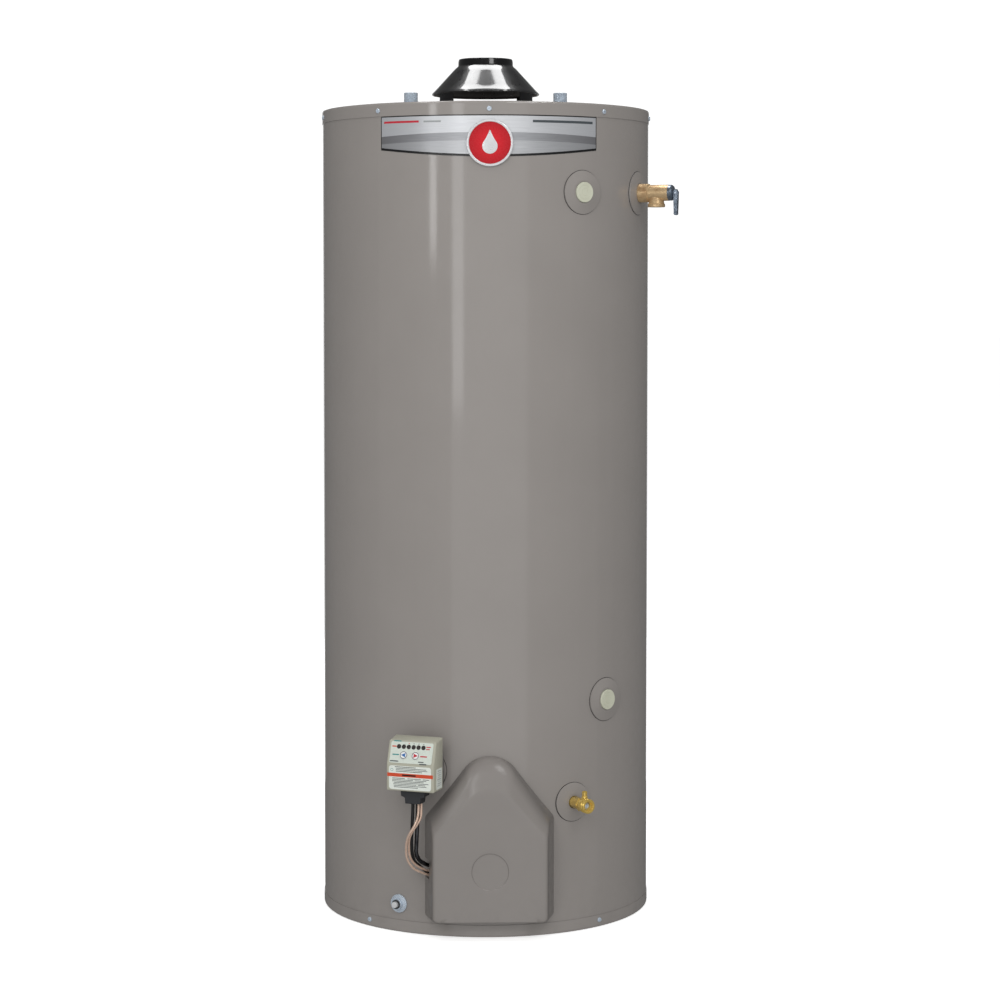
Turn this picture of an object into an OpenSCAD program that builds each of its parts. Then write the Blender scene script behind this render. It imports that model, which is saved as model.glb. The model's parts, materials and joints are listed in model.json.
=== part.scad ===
// Gas storage water heater: round steel jacket on a base pan, draft hood on top,
// relief valve and drain valve on the right, electronic gas control and burner cover at the front.
// Origin: the tank's axis at the floor. +Z is up and -Y is the front.

/* [Jacket and pans] */
// Outside diameter of the jacket
jacket_d = 610; // [606:1:614]
// Height of the top deck above the floor
deck_z = 1489; // [1480:1:1500]
// Sheet thickness of the jacket
jacket_t = 1; // [0.8:0.1:1.2]
// Sheet thickness of both pans
pan_t = 1; // [0.8:0.1:1.2]
// Height of the top pan's rim
top_rim_h = 24; // [20:1:28]
// Height of the base pan's rim
base_rim_h = 22; // [20:1:24]

/* [Tank] */
// Outside diameter of the steel tank
tank_d = 508; // [506:1:509]
// Wall of the tank
tank_t = 2.5; // [2:0.1:3]
// Height of the lower head's rim
lower_head_z = 165; // [160:1:170]
// Top edge of the tank shell
tank_top_z = 1398; // [1394:1:1400]
// Rise of both domed heads
head_rise = 42; // [38:1:44]
// Outside diameter of the flue tube
flue_d = 102; // [100:0.5:103]

/* [Pipes] */
// Distance between the hot and cold nipples
nipple_spacing = 280; // [270:1:290]
// Outside diameter of a 3/4 inch pipe
pipe_d = 26.7; // [26.5:0.1:26.8]
// Bore of a 3/4 inch pipe
pipe_bore = 20.9; // [20.6:0.1:21.2]
// Height of the nipples above the deck
nipple_h = 36; // [32:1:40]

/* [Draft hood] */
// Diameter of the hood's rim
hood_rim_d = 202; // [196:1:206]
// Outside diameter of the vent collar
collar_d = 103; // [102:0.5:106]
// Rim of the hood above the deck
hood_gap = 31; // [28:1:34]
// Top of the collar above the deck
hood_h = 98; // [94:1:102]

/* [Fittings] */
// Angle of the relief valve from the front
relief_angle = 64.6; // [62:0.1:68]
// Height of the relief valve
relief_z = 1333; // [1325:1:1340]
// Angle of the upper side tap
upper_tap_angle = 33.1; // [31:0.1:35]
// Height of the upper side tap
upper_tap_z = 1330; // [1320:1:1335]
// Angle of the lower side tap
lower_tap_angle = 43.9; // [42:0.1:46]
// Height of the lower side tap
lower_tap_z = 415; // [410:1:420]
// Angle of the drain valve
drain_angle = 29.6; // [28:0.1:31]
// Height of the drain valve
drain_z = 236.5; // [232:0.5:240]
// Angle of the gas control
control_angle = -21.9; // [-23:0.1:-21]
// Height of the gas control's well
control_z = 299; // [297:1:303]
// Angle of the igniter
igniter_angle = -32.1; // [-33:0.1:-31]
// Height of the igniter
igniter_z = 52; // [50:1:54]

/* [Burner cover] */
// Width of the cover where it meets the jacket
cover_w = 231; // [228:1:233]
// Lower edge of the cover
cover_low_z = 33; // [31:1:35]
// Top of the cover
cover_top_z = 334; // [330:1:336]
// Distance from the axis to the cover's front
cover_front = 340; // [338:1:344]

/* [Hidden] */
$fn = 96;

grey = [0.58, 0.565, 0.555];
zinc = [0.72, 0.74, 0.77];
brass = [0.78, 0.6, 0.28];
steel = [0.5, 0.5, 0.52];

jacket_r = jacket_d / 2;
jacket_in = jacket_r - jacket_t;
gap = 0.1;
pan_in = jacket_r + gap;
pan_r = pan_in + pan_t;
pan_floor_t = 1.5;
tank_r = tank_d / 2;
tank_in = tank_r - tank_t;
blanket_in = tank_r + 0.3;
blanket_out = jacket_in - 0.3;
foam_low_z = 360;
foam_top_z = 1448;
flue_r = flue_d / 2;
flue_t = 2.5;
flue_top_z = deck_z + 8;
pipe_r = pipe_d / 2;
nipple_top_z = deck_z + nipple_h;
nipple_low_z = tank_top_z - 12;
nipple_thread = 20;
anode_x = -70;
anode_y = 150;
spud_in = tank_in - 4;
spud_out = tank_r + 12;
spud_wall = 8;
screw_r = 2;
top_screw_z = deck_z - 14;
base_screw_z = 13;
top_screw_angles = [-160, -120, -81, -40.2, -0.2, 42.4, 83, 121, 160];
base_screw_angles = [-137, -44.8, 41, 133];

// Stands a part on the jacket: x is sideways, y is up and z is the distance from the tank's axis.
module on_jacket(angle, height) rotate([0, 0, angle]) translate([0, 0, height]) rotate([90, 0, 0]) children();

// A turned part about Z, from a list of [radius, height] points.
module turned(points) rotate_extrude() polygon(points);

module pipe(r_in, r_out, z_low, z_high) turned([[r_in, z_low], [r_out, z_low], [r_out, z_high], [r_in, z_high]]);

module rod(r, z_low, z_high) translate([0, 0, z_low]) cylinder(r = r, h = z_high - z_low);

module block(size_x, size_y, z_low, z_high)
    translate([-size_x / 2, -size_y / 2, z_low]) cube([size_x, size_y, z_high - z_low]);

module rounded_rect(w, h, r) {
    square([w - 2 * r, h], center = true);
    square([w, h - 2 * r], center = true);
    for (x = [-1, 1], y = [-1, 1]) translate([x * (w / 2 - r), y * (h / 2 - r)]) circle(r = r, $fn = 32);
}

// Radial fittings on the tank: angle, height and the radius of the thread in the spud.
relief_port = [relief_angle, relief_z, pipe_r];
upper_port = [upper_tap_angle, upper_tap_z, 18.25];
lower_port = [lower_tap_angle, lower_tap_z, 18.25];
drain_port = [drain_angle, drain_z, 11];
control_port = [control_angle, control_z, 13.3];
ports = [relief_port, upper_port, lower_port, drain_port, control_port];
top_ports = [
    [nipple_spacing / 2, 0, pipe_r],
    [-nipple_spacing / 2, 0, pipe_r],
    [anode_x, anode_y, 13.3],
];

// Holes for the radial fittings, each a little larger than the port's radius.
module port_holes(margin, list = ports)
    for (p = list) on_jacket(p[0], p[1]) rod(p[2] + margin, 200, 320);

module top_port_holes(margin)
    for (p = top_ports) translate([p[0], p[1], 0]) rod(p[2] + margin, 1300, 1600);

module flue_hole(r) rod(r, 100, 1600);

module rim_screw_places(height)
    for (a = height > 700 ? top_screw_angles : base_screw_angles) on_jacket(a, height) children();

module rim_screw_holes(height) rim_screw_places(height) rod(screw_r + gap, 290, 320);

module igniter_hole(r) on_jacket(igniter_angle, igniter_z) rod(r, 255, 320);

// The access opening in front of the burner.
access_w = 196;
access_low_z = 58;
access_top_z = 216;
module access_hole(margin)
    translate([-access_w / 2 - margin, -320, access_low_z - margin])
        cube([access_w + 2 * margin, 120, access_top_z - access_low_z + 2 * margin]);

// Combustion air slots low in the back of the jacket and the tank's skirt.
air_slots = 5;
air_slot_w = 44;
air_slot_h = 9;
air_slot_pitch = 12;
module air_slot_holes()
    for (i = [0:air_slots - 1])
        rotate([0, 0, 180 + (i - (air_slots - 1) / 2) * air_slot_pitch])
            translate([-air_slot_w / 2, -320, 45]) cube([air_slot_w, 75, air_slot_h]);

pan_corner = 4;
module base_pan() color(grey) difference() {
    turned([
        [0, 0], [pan_r - pan_corner, 0], [pan_r - pan_corner * 0.5, 0.5], [pan_r - 0.5, pan_corner * 0.5],
        [pan_r, pan_corner], [pan_r, base_rim_h], [pan_in, base_rim_h], [pan_in, pan_floor_t],
        [0, pan_floor_t],
    ]);
    rim_screw_holes(base_screw_z);
}

jacket_seam_w = 14;
jacket_low_z = pan_floor_t + 0.2;
jacket_top_z = deck_z - pan_t - 0.2;
module jacket() color(grey) difference() {
    union() {
        pipe(jacket_in, jacket_r, jacket_low_z, jacket_top_z);
        translate([-jacket_seam_w / 2, jacket_r - 0.5, base_rim_h + 2])
            cube([jacket_seam_w, 1.4, deck_z - top_rim_h - base_rim_h - 4]);
    }
    port_holes(3);
    access_hole(0);
    igniter_hole(10);
    rim_screw_holes(base_screw_z);
    rim_screw_holes(top_screw_z);
    air_slot_holes();
}

module top_pan() color(grey) difference() {
    turned([
        [flue_r + 3, deck_z - pan_t], [pan_in, deck_z - pan_t], [pan_in, deck_z - top_rim_h],
        [pan_r, deck_z - top_rim_h], [pan_r, deck_z - pan_corner], [pan_r - 0.5, deck_z - pan_corner * 0.5],
        [pan_r - pan_corner * 0.5, deck_z - 0.5], [pan_r - pan_corner, deck_z], [flue_r + 3, deck_z],
    ]);
    top_port_holes(3);
    rim_screw_holes(top_screw_z);
}

// A pan head screw with a cross recess, its head on z = 0.
module pan_screw(shank) {
    difference() {
        turned([[0, 0.05], [4.3, 0.05], [4.3, 1.2], [3.5, 2.2], [0, 2.6]]);
        for (a = [0, 90]) rotate([0, 0, a]) translate([-2.4, -0.5, 1.4]) cube([4.8, 1, 3]);
    }
    rod(screw_r, -shank, 0.05);
}

module top_screws() color(zinc) rim_screw_places(top_screw_z) translate([0, 0, pan_r]) pan_screw(7);

module base_screws() color(zinc) rim_screw_places(base_screw_z) translate([0, 0, pan_r]) pan_screw(7);

module tank_shell() color(steel) difference() {
    pipe(tank_in, tank_r, pan_floor_t + 0.1, tank_top_z);
    port_holes(spud_wall + gap);
    access_hole(-8);
    air_slot_holes();
}

// A domed head: a slice of a spherical shell that springs from the given height.
head_t = 3;
head_r = tank_in - gap;
sphere_r = (head_r * head_r + head_rise * head_rise) / (2 * head_rise);
module dome(height) intersection() {
    translate([0, 0, height + head_rise - sphere_r]) difference() {
        sphere(r = sphere_r);
        sphere(r = sphere_r - head_t);
    }
    rod(head_r, height - 4, height + head_rise + 1);
}

module top_head() color(steel) difference() {
    dome(tank_top_z - 4);
    flue_hole(flue_r + gap);
    top_port_holes(spud_wall + gap);
}

module bottom_head() color(steel) difference() {
    dome(lower_head_z);
    flue_hole(flue_r + gap);
}

module flue_tube() color(steel) pipe(flue_r - flue_t, flue_r, lower_head_z + head_rise - 12, flue_top_z);

// A zigzag strip that hangs from a bar across the top of the flue.
baffle_w = 78;
baffle_t = 1.5;
baffle_pitch = 70;
baffle_swing = 9;
baffle_low_z = 380;
baffle_folds = floor((flue_top_z - baffle_low_z) / baffle_pitch);
function baffle_point(i, side) = [
    (i % 2 == 0 ? -baffle_swing : baffle_swing) + side * baffle_t / 2,
    flue_top_z + 2 - i * baffle_pitch,
];
module flue_baffle() color(steel) {
    rotate([90, 0, 90]) linear_extrude(height = baffle_w, center = true) polygon([
        for (i = [0:baffle_folds]) baffle_point(i, 1),
        for (i = [baffle_folds:-1:0]) baffle_point(i, -1),
    ]);
    translate([-baffle_w / 2 - 12, -baffle_swing, flue_top_z + 2.7]) rotate([0, 90, 0])
        rod(2.5, 0, baffle_w + 24);
}

module foam_insulation() color([0.9, 0.85, 0.6]) difference() {
    pipe(blanket_in, blanket_out, foam_low_z, foam_top_z);
    port_holes(spud_wall + 1, [relief_port, upper_port, lower_port]);
}

module top_insulation() color([0.9, 0.85, 0.6]) difference() {
    rod(blanket_out, foam_top_z + 1, jacket_top_z - 8);
    flue_hole(flue_r + 2);
    top_port_holes(spud_wall + 1);
    rim_screw_holes(top_screw_z);
}

module lower_blanket() color([0.9, 0.8, 0.5]) difference() {
    pipe(blanket_in, blanket_out, pan_floor_t + 0.5, foam_low_z - 1);
    rim_screw_holes(base_screw_z);
    port_holes(spud_wall + 1, [drain_port, control_port]);
    access_hole(14);
    igniter_hole(13);
    air_slot_holes();
}

// Magnesium anode with its hexagonal plug in the top head.
anode_low_z = 420;
anode_head_z = deck_z - 22;
module anode_rod() color(steel) translate([anode_x, anode_y, 0]) {
    rod(10.5, anode_low_z, nipple_low_z);
    rod(13.2, nipple_low_z, anode_head_z);
    translate([0, 0, anode_head_z]) cylinder(r = 15.6, h = 16, $fn = 6);
}

module anode_cap() color([0.25, 0.25, 0.26]) translate([anode_x, anode_y, 0]) {
    turned([[0, deck_z + 0.1], [21, deck_z + 0.1], [21, deck_z + 2], [18, deck_z + 3.5], [0, deck_z + 3.5]]);
    pipe(14, 15.8, deck_z - 5, deck_z + 0.2);
}

module dip_tube() color([0.85, 0.87, 0.88]) translate([nipple_spacing / 2, 0, 0]) pipe(7.5, 9.5, 260, nipple_low_z + 40);

module nipple() {
    turned([
        [pipe_bore / 2, nipple_low_z], [pipe_r - 0.3, nipple_low_z], [pipe_r - 0.3, nipple_top_z - nipple_thread],
        [pipe_r, nipple_top_z - nipple_thread], [pipe_r, nipple_top_z - 1],
        [pipe_r - 1, nipple_top_z], [pipe_bore / 2, nipple_top_z],
    ]);
}
module cold_nipple() color(zinc) translate([nipple_spacing / 2, 0, 0]) nipple();
module hot_nipple() color(zinc) translate([-nipple_spacing / 2, 0, 0]) nipple();

// Plastic heat trap liners, one hooked in the mouth of each nipple.
module nipple_liners() color([0.8, 0.82, 0.8]) for (x = [-1, 1])
    translate([x * nipple_spacing / 2, 0, 0]) pipe(8.6, pipe_bore / 2 - gap, nipple_low_z + 45, nipple_top_z - 2);

// The hood's shell: a straight collar, a shoulder and a cone that flares to the rim.
hood_t = 1.2;
collar_r = collar_d / 2;
hood_rim_r = hood_rim_d / 2;
hood_rim_z = deck_z + hood_gap;
collar_low_z = deck_z + 84;
hood_top_z = deck_z + hood_h;
shoulder_r = collar_r + 2;
module draft_hood() color([0.06, 0.06, 0.07]) turned([
    [collar_r, hood_top_z], [collar_r, collar_low_z + 1], [shoulder_r, collar_low_z],
    [hood_rim_r, hood_rim_z + 4], [hood_rim_r, hood_rim_z], [hood_rim_r - hood_t, hood_rim_z],
    [hood_rim_r - hood_t, hood_rim_z + 3], [shoulder_r - 1, collar_low_z - hood_t - 0.3],
    [collar_r - hood_t, collar_low_z - hood_t], [collar_r - hood_t, hood_top_z],
]);

// Four folded legs: a foot on the deck, an upright and a tab against the rim.
leg_w = 36;
leg_t = 1.5;
leg_r = hood_rim_r - hood_t - 0.2;
leg_angles = [49, 131, 229, 311];
module hood_legs() color([0.06, 0.06, 0.07]) for (a = leg_angles) rotate([0, 0, a]) difference() {
    union() {
        intersection() {
            pipe(leg_r - leg_t, leg_r, deck_z + 0.1, hood_rim_z + 2.6);
            translate([-leg_w / 2, -hood_rim_r, deck_z]) cube([leg_w, 60, 60]);
        }
        translate([-leg_w / 2, -leg_r + leg_t - 16, deck_z + 0.1]) cube([leg_w, 18, leg_t]);
    }
    translate([0, -leg_r - 6.5, deck_z - 1]) cylinder(r = screw_r + gap, h = 10);
}

module hood_screws() color(zinc) for (a = leg_angles) rotate([0, 0, a])
    translate([0, -leg_r - 6.5, deck_z + leg_t + 0.1]) pan_screw(leg_t);

module tank_spuds() color(steel) {
    for (p = ports) on_jacket(p[0], p[1]) pipe(p[2] + gap, p[2] + spud_wall, spud_in, spud_out);
    for (p = top_ports) translate([p[0], p[1], 0])
        pipe(p[2] + gap, p[2] + spud_wall, nipple_low_z + 8, tank_top_z + head_rise + 4);
}

// Plugs that close the two side taps, with shallow turned rings on the face.
plug_face = jacket_r + 8;
module side_tap_plugs() color([0.72, 0.73, 0.65]) for (p = [upper_port, lower_port])
    on_jacket(p[0], p[1]) turned([
        [0, spud_in], [p[2], spud_in], [p[2], plug_face - 0.8], [p[2] - 0.8, plug_face],
        [13, plug_face], [12.6, plug_face - 0.4], [12.2, plug_face], [7, plug_face],
        [6.6, plug_face - 0.4], [6.2, plug_face], [0, plug_face],
    ]);

// A shallow cone of sheet, cut to sit on the jacket: outer radius, bore and height at the bore.
module jacket_cutter(r) translate([0, -60, 0]) rotate([-90, 0, 0]) cylinder(r = r, h = 120, $fn = 720);

module escutcheon(angle, height, r_out, r_bore, rise) on_jacket(angle, height) difference() {
    turned([
        [r_bore, 296], [r_out, 296], [r_out, jacket_r + 0.8], [r_bore + 4, jacket_r + rise],
        [r_bore, jacket_r + rise],
    ]);
    jacket_cutter(jacket_r + gap);
}

module escutcheons() color(grey) {
    escutcheon(relief_angle, relief_z, 39.5, 17.4, 4.5);
    escutcheon(upper_tap_angle, upper_tap_z, 39, 18.7, 5);
    escutcheon(lower_tap_angle, lower_tap_z, 39, 18.7, 5);
    escutcheon(drain_angle, drain_z, 35, 11.5, 4.5);
    escutcheon(control_angle, control_z, 39, 14.5, 4.5);
}

// Relief valve, about an axis that points away from the tank. Heights are distances from the tank's axis.
relief_step = jacket_r + 23;
relief_end = jacket_r + 61.5;
relief_seat = jacket_r + 15;
relief_pivot = jacket_r + 74.3;
relief_cap_end = jacket_r + 69.3;
relief_outlet = jacket_r + 36.4;
relief_chamber_r = 11;
relief_bore_r = 8.5;
outlet_bore_r = 12.2;
outlet_drop = 26;
outlet_bore_len = 10;
module relief_valve_body() color(brass) on_jacket(relief_angle, relief_z) difference() {
    union() {
        rod(pipe_r, spud_in, jacket_r + 1);
        turned([
            [0, jacket_r + 0.8], [16.9, jacket_r + 0.8], [16.9, relief_step - 1], [14.7, relief_step + 1.2],
            [14.7, relief_end - 0.6], [14.1, relief_end], [0, relief_end],
        ]);
        translate([0, 0, relief_outlet]) rotate([90, 0, 0]) turned([
            [0, -4], [10.5, -4], [14.6, outlet_drop - 6.5], [15.4, outlet_drop - 5.6],
            [16, outlet_drop - 4.8], [16, outlet_drop - 0.8], [15.2, outlet_drop], [0, outlet_drop],
        ]);
    }
    rod(relief_bore_r, spud_in - 1, relief_seat + 1);
    rod(relief_chamber_r, relief_seat, relief_end + 1);
    translate([0, 0, relief_outlet]) rotate([90, 0, 0]) {
        rod(6.5, 0, outlet_drop + 1);
        rod(outlet_bore_r, outlet_drop - outlet_bore_len, outlet_drop + 1);
    }
}

stem_r = 2;
module relief_valve_cap() color([0.45, 0.5, 0.56]) on_jacket(relief_angle, relief_z) turned([
    [stem_r + 0.2, relief_end - 4], [relief_chamber_r - gap, relief_end - 4],
    [relief_chamber_r - gap, relief_end + 0.05], [14.4, relief_end + 0.05], [14.4, relief_end + 5],
    [12.6, relief_cap_end - 0.4], [9, relief_cap_end], [stem_r + 0.2, relief_cap_end],
]);

// Thermal probe in the valve's inlet, held by a spider.
module relief_probe() color([0.75, 0.5, 0.35]) on_jacket(relief_angle, relief_z) {
    rod(4.5, 165, relief_seat - 5);
    difference() {
        rod(relief_bore_r - 0.05, 296, 299);
        for (a = [0:60:300]) rotate([0, 0, a]) translate([6.3, 0, 290]) cylinder(r = 1.4, h = 12);
    }
}

module relief_stem() color(zinc) on_jacket(relief_angle, relief_z) {
    turned([
        [0, relief_seat + 0.1], [relief_chamber_r - 0.4, relief_seat + 0.1],
        [relief_chamber_r - 0.4, relief_seat + 4], [stem_r, relief_seat + 4], [stem_r, relief_pivot - 3],
        [0, relief_pivot - 3],
    ]);
    difference() {
        translate([-stem_r, -2.6, relief_pivot - 4]) cube([2 * stem_r, 5.2, 6.6]);
        translate([0, 0, relief_pivot]) rotate([0, 90, 0]) rod(1.5, -6, 6);
    }
}

// Closed coil between the stem's disc and the cap.
spring_turns = 6;
spring_low = relief_seat + 5;
spring_high = relief_end - 5.2;
spring_r = 6.5;
wire_r = 0.9;
function spring_point(t) = [
    spring_r * cos(360 * spring_turns * t),
    spring_r * sin(360 * spring_turns * t),
    spring_low + (spring_high - spring_low) * t,
];
module relief_spring() color(steel) on_jacket(relief_angle, relief_z)
    sweep([for (i = [0:spring_turns * 12]) spring_point(i / (spring_turns * 12))], wire_r, 6);

module relief_lever_pin() color(zinc) on_jacket(relief_angle, relief_z)
    translate([0, 0, relief_pivot]) rotate([0, 90, 0]) rod(1.5, -5, 5);

// Test lever: two cheeks on the pin, a round heel that works against the cap, and a solid tail.
lever_w = 8;
lever_slot = 4.6;
lever_len = 41;
lever_tip_r = 3.4;
module lever_disc(r, y) translate([-lever_w / 2, y, 0]) rotate([0, 90, 0]) cylinder(r = r, h = lever_w);
module relief_lever() color([0.4, 0.45, 0.5]) on_jacket(relief_angle, relief_z) translate([0, 0, relief_pivot])
    difference() {
        union() {
            lever_disc(4.5, 0);
            lever_disc(2.4, 4.2);
            lever_disc(lever_tip_r, lever_tip_r - lever_len);
            rotate([90, 0, 90]) translate([0, 0, -lever_w / 2]) linear_extrude(height = lever_w)
                polygon([[1, -4.2], [-12, -4], [3 - lever_len, -3.1], [3 - lever_len, 3.1], [-12, 4], [1, 4.2]]);
        }
        translate([-lever_slot / 2, -9, -10]) cube([lever_slot, 20, 20]);
        rotate([0, 90, 0]) rod(1.55, -10, 10);
    }

// Drain valve: a ball valve with its stem on top and a hose thread facing outwards.
drain_face = jacket_r + 53;
drain_ball_at = jacket_r + 38.5;
drain_neck_r = 11;
hose_r = 13.2;
drain_bore_r = 6.3;
ball_r = 8.4;
stem_low = 5;
stem_top = 26;
module drain_valve_body() color(brass) on_jacket(drain_angle, drain_z) difference() {
    union() {
        rod(drain_neck_r, spud_in, drain_face - 9);
        turned([
            [0, jacket_r + 32], [drain_neck_r, jacket_r + 32], [12.4, jacket_r + 34],
            [12.4, drain_face - 9.5], [hose_r, drain_face - 9], [hose_r, drain_face - 1.6],
            [hose_r - 1.2, drain_face], [0, drain_face],
        ]);
        translate([0, 0, drain_ball_at]) rotate([-90, 0, 0]) turned([
            [0, 0], [5.4, 0], [5.4, 15.6], [4.8, 17], [0, 17],
        ]);
    }
    rod(drain_bore_r, spud_in - 1, drain_face + 1);
    translate([0, 0, drain_face - 5]) cylinder(r1 = drain_bore_r, r2 = 8.4, h = 6);
    translate([0, 0, drain_ball_at]) {
        sphere(r = ball_r + 0.15);
        rotate([-90, 0, 0]) rod(3.45, 0, 30);
    }
}

module drain_ball() color(zinc) on_jacket(drain_angle, drain_z) translate([0, 0, drain_ball_at]) difference() {
    sphere(r = ball_r);
    rotate([0, 90, 0]) rod(drain_bore_r - 1, -10, 10);
    rotate([-90, 0, 0]) rod(3.4, 7, 10);
}

module drain_stem() color(brass) on_jacket(drain_angle, drain_z) translate([0, 0, drain_ball_at])
    rotate([-90, 0, 0]) difference() {
        union() {
            turned([[0, 7], [3.4, 7], [3.4, stem_top - 3], [2.6, stem_top - 2], [0, stem_top - 2]]);
            intersection() {
                translate([-4.2, -2, 17.6]) cube([8.4, 4, stem_top - 17.6]);
                translate([0, 5, stem_top - 5.4]) rotate([90, 0, 0]) cylinder(r = 5.6, h = 10);
            }
        }
        translate([-5, -0.5, stem_top - 1.2]) cube([10, 1, 5]);
    }

// Gas control behind the housing: a cast body with the gas inlet on its hidden side.
control_back = jacket_r + 6;
housing_back = jacket_r + 30;
housing_front = jacket_r + 75;
control_inlet_r = 9.5;
module control_valve_body() color([0.62, 0.63, 0.64]) on_jacket(control_angle, control_z) difference() {
    union() {
        translate([0, 4, 0]) block(72, 56, control_back, housing_back - 0.3);
        translate([0, 0, control_back + 11]) rotate([0, -90, 0]) rod(12.5, 30, 44);
        rod(12.5, spud_out + 1, control_back + 0.5);
    }
    translate([0, 0, control_back + 11]) rotate([0, -90, 0]) rod(control_inlet_r, 20, 50);
}

// Well that carries the temperature probe into the tank.
module control_well() color(zinc) on_jacket(control_angle, control_z) {
    rod(13.2, spud_in - 1, spud_out + 0.8);
    rod(5.5, 140, spud_in - 0.5);
}

housing_w = 90;
housing_low = 273 - 299;
housing_break = 321 - 299;
housing_top = 365.5 - 299;
housing_slope = 13.45;
housing_wall = 2;
face_top = housing_top - 5;
face_len = norm([housing_slope, face_top - housing_break]);
face_tilt = atan(housing_slope / (face_top - housing_break));
module housing_solid(inset) intersection() {
    rotate([90, 0, 90]) linear_extrude(height = housing_w - 2 * inset, center = true) polygon([
        [housing_low + inset, housing_back - 2 * inset], [housing_top - inset, housing_back - 2 * inset],
        [face_top - inset, housing_front - housing_slope - inset * 1.3],
        [housing_break - inset * 0.2, housing_front - inset], [housing_low + inset, housing_front - inset],
    ]);
    translate([0, (housing_low + housing_top) / 2, housing_back - 10]) linear_extrude(height = 80)
        rounded_rect(housing_w - 2 * inset, housing_top - housing_low - 2 * inset, 4);
}

// Carries a part onto the sloping upper face: x across it, y up it and z out of it.
module on_face() on_jacket(control_angle, control_z)
    translate([0, (housing_break + face_top) / 2, housing_front - housing_slope / 2])
        rotate([-face_tilt, 0, 0]) children();

lamp_y = 10.2;
lamp_pitch = 9.3;
lamp_r = 3.4;
lamp_x = -1.5;
button_y = -4.8;
button_r = 7;
cooler_x = -14;
hotter_x = 8.5;
module face_holes(margin) on_face() {
    for (x = [cooler_x, hotter_x]) translate([x, button_y, 0]) rod(button_r + margin, -8, 8);
    for (i = [0:5]) translate([lamp_x + (i - 2.5) * lamp_pitch, lamp_y, 0]) rod(lamp_r + margin, -8, 8);
}

boot_w = 44;
boot_d = 26;
boot_at = housing_front - 24;
module control_housing() color([0.68, 0.68, 0.62]) difference() {
    on_jacket(control_angle, control_z) difference() {
        housing_solid(0);
        housing_solid(housing_wall);
        translate([0, housing_low + 1, boot_at]) cube([30, 12, 18], center = true);
    }
    face_holes(0.1);
}

module control_board() color([0.15, 0.4, 0.25]) on_face() block(76, 38, -16, -14.4);

module control_panel() color([0.8, 0.83, 0.79]) difference() {
    on_face() translate([0, 0, 0.05]) linear_extrude(height = 0.6) rounded_rect(80, face_len - 3.6, 3);
    face_holes(0.1);
}

module indicator_lamps() color([0.16, 0.15, 0.14]) on_face() for (i = [0:5])
    translate([lamp_x + (i - 2.5) * lamp_pitch, lamp_y, 0]) rod(lamp_r, -9, 0.9);

// Blank instruction plates: one on the front below the face and one on the right side.
label_h = housing_break - housing_low - 6;
module instruction_labels() color([0.85, 0.87, 0.84]) on_jacket(control_angle, control_z) {
    translate([0, (housing_low + housing_break) / 2, housing_front + 0.05]) linear_extrude(height = 0.4)
        rounded_rect(80, label_h, 5);
    translate([housing_w / 2 + 0.05, 0, 0]) rotate([0, 90, 0]) translate([-(housing_back + 20), -4, 0])
        linear_extrude(height = 0.4) rounded_rect(26, 36, 2);
}

button_travel = 1;
module face_button(x) on_face() translate([x, button_y, 0]) {
    turned([[0, -1.2], [button_r, -1.2], [button_r, 1.3], [button_r - 0.5, 1.7], [0, 1.7]]);
    rod(2.2, -12, -1.2);
}
module cooler_button() color([0.85, 0.87, 0.86]) face_button(cooler_x);
module hotter_button() color([0.85, 0.87, 0.86]) face_button(hotter_x);

// Boot under the housing that gathers the tube and the leads.
boot_low = housing_low - 24;
module connector_boot() color([0.12, 0.12, 0.13]) on_jacket(control_angle, control_z)
    translate([0, 0, boot_at - boot_d / 2]) linear_extrude(height = boot_d) polygon([
        [-boot_w / 2 - 1, housing_low - 0.1], [-boot_w / 2, housing_low - 11],
        [-boot_w / 2 + 6, housing_low - 13], [-15, housing_low - 14], [-14, boot_low], [14, boot_low],
        [15, housing_low - 14], [boot_w / 2 - 6, housing_low - 13], [boot_w / 2, housing_low - 11],
        [boot_w / 2 + 1, housing_low - 0.1],
    ]);

// Smooth tube along a route: rings of points on a curve through the route, joined into one closed skin.
function unit(v) = v / norm(v);
function route_point(p, i) = p[max(0, min(len(p) - 1, i))];
function blend_point(a, b, c, d, t) = 0.5 * (2 * b + (c - a) * t
    + (2 * a - 5 * b + 4 * c - d) * t * t + (3 * b - a - 3 * c + d) * t * t * t);
function smooth_route(p, steps) = [
    for (i = [0:len(p) - 2], s = [0:steps - 1])
        blend_point(route_point(p, i - 1), p[i], p[i + 1], route_point(p, i + 2), s / steps),
    p[len(p) - 1],
];
function heading(p, i) = unit(route_point(p, i + 1) - route_point(p, i - 1));
function side_of(p, i) = i == 0
    ? unit(cross(heading(p, 0), abs(heading(p, 0)[0]) > 0.8 ? [0, 1, 0] : [1, 0, 0]))
    : carried(side_of(p, i - 1), heading(p, i));
function carried(side, h) = unit(side - h * (side * h));
module sweep(p, r, sides) {
    n = len(p);
    sides_list = carry_sides(p);
    ring_points = [
        for (i = [0:n - 1], k = [0:sides - 1])
            p[i] + r * cos(360 * k / sides) * sides_list[i]
                + r * sin(360 * k / sides) * cross(heading(p, i), sides_list[i]),
    ];
    polyhedron(points = ring_points, faces = [
        [for (k = [sides - 1:-1:0]) k],
        for (i = [0:n - 2], k = [0:sides - 1])
            [i * sides + k, i * sides + (k + 1) % sides, (i + 1) * sides + (k + 1) % sides, (i + 1) * sides + k],
        [for (k = [0:sides - 1]) (n - 1) * sides + k],
    ]);
}
function carry_sides(p) = [
    for (i = 0, s = side_of(p, 0); i < len(p); i = i + 1, s = i < len(p) ? carried(s, heading(p, i)) : s) s,
];

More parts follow.
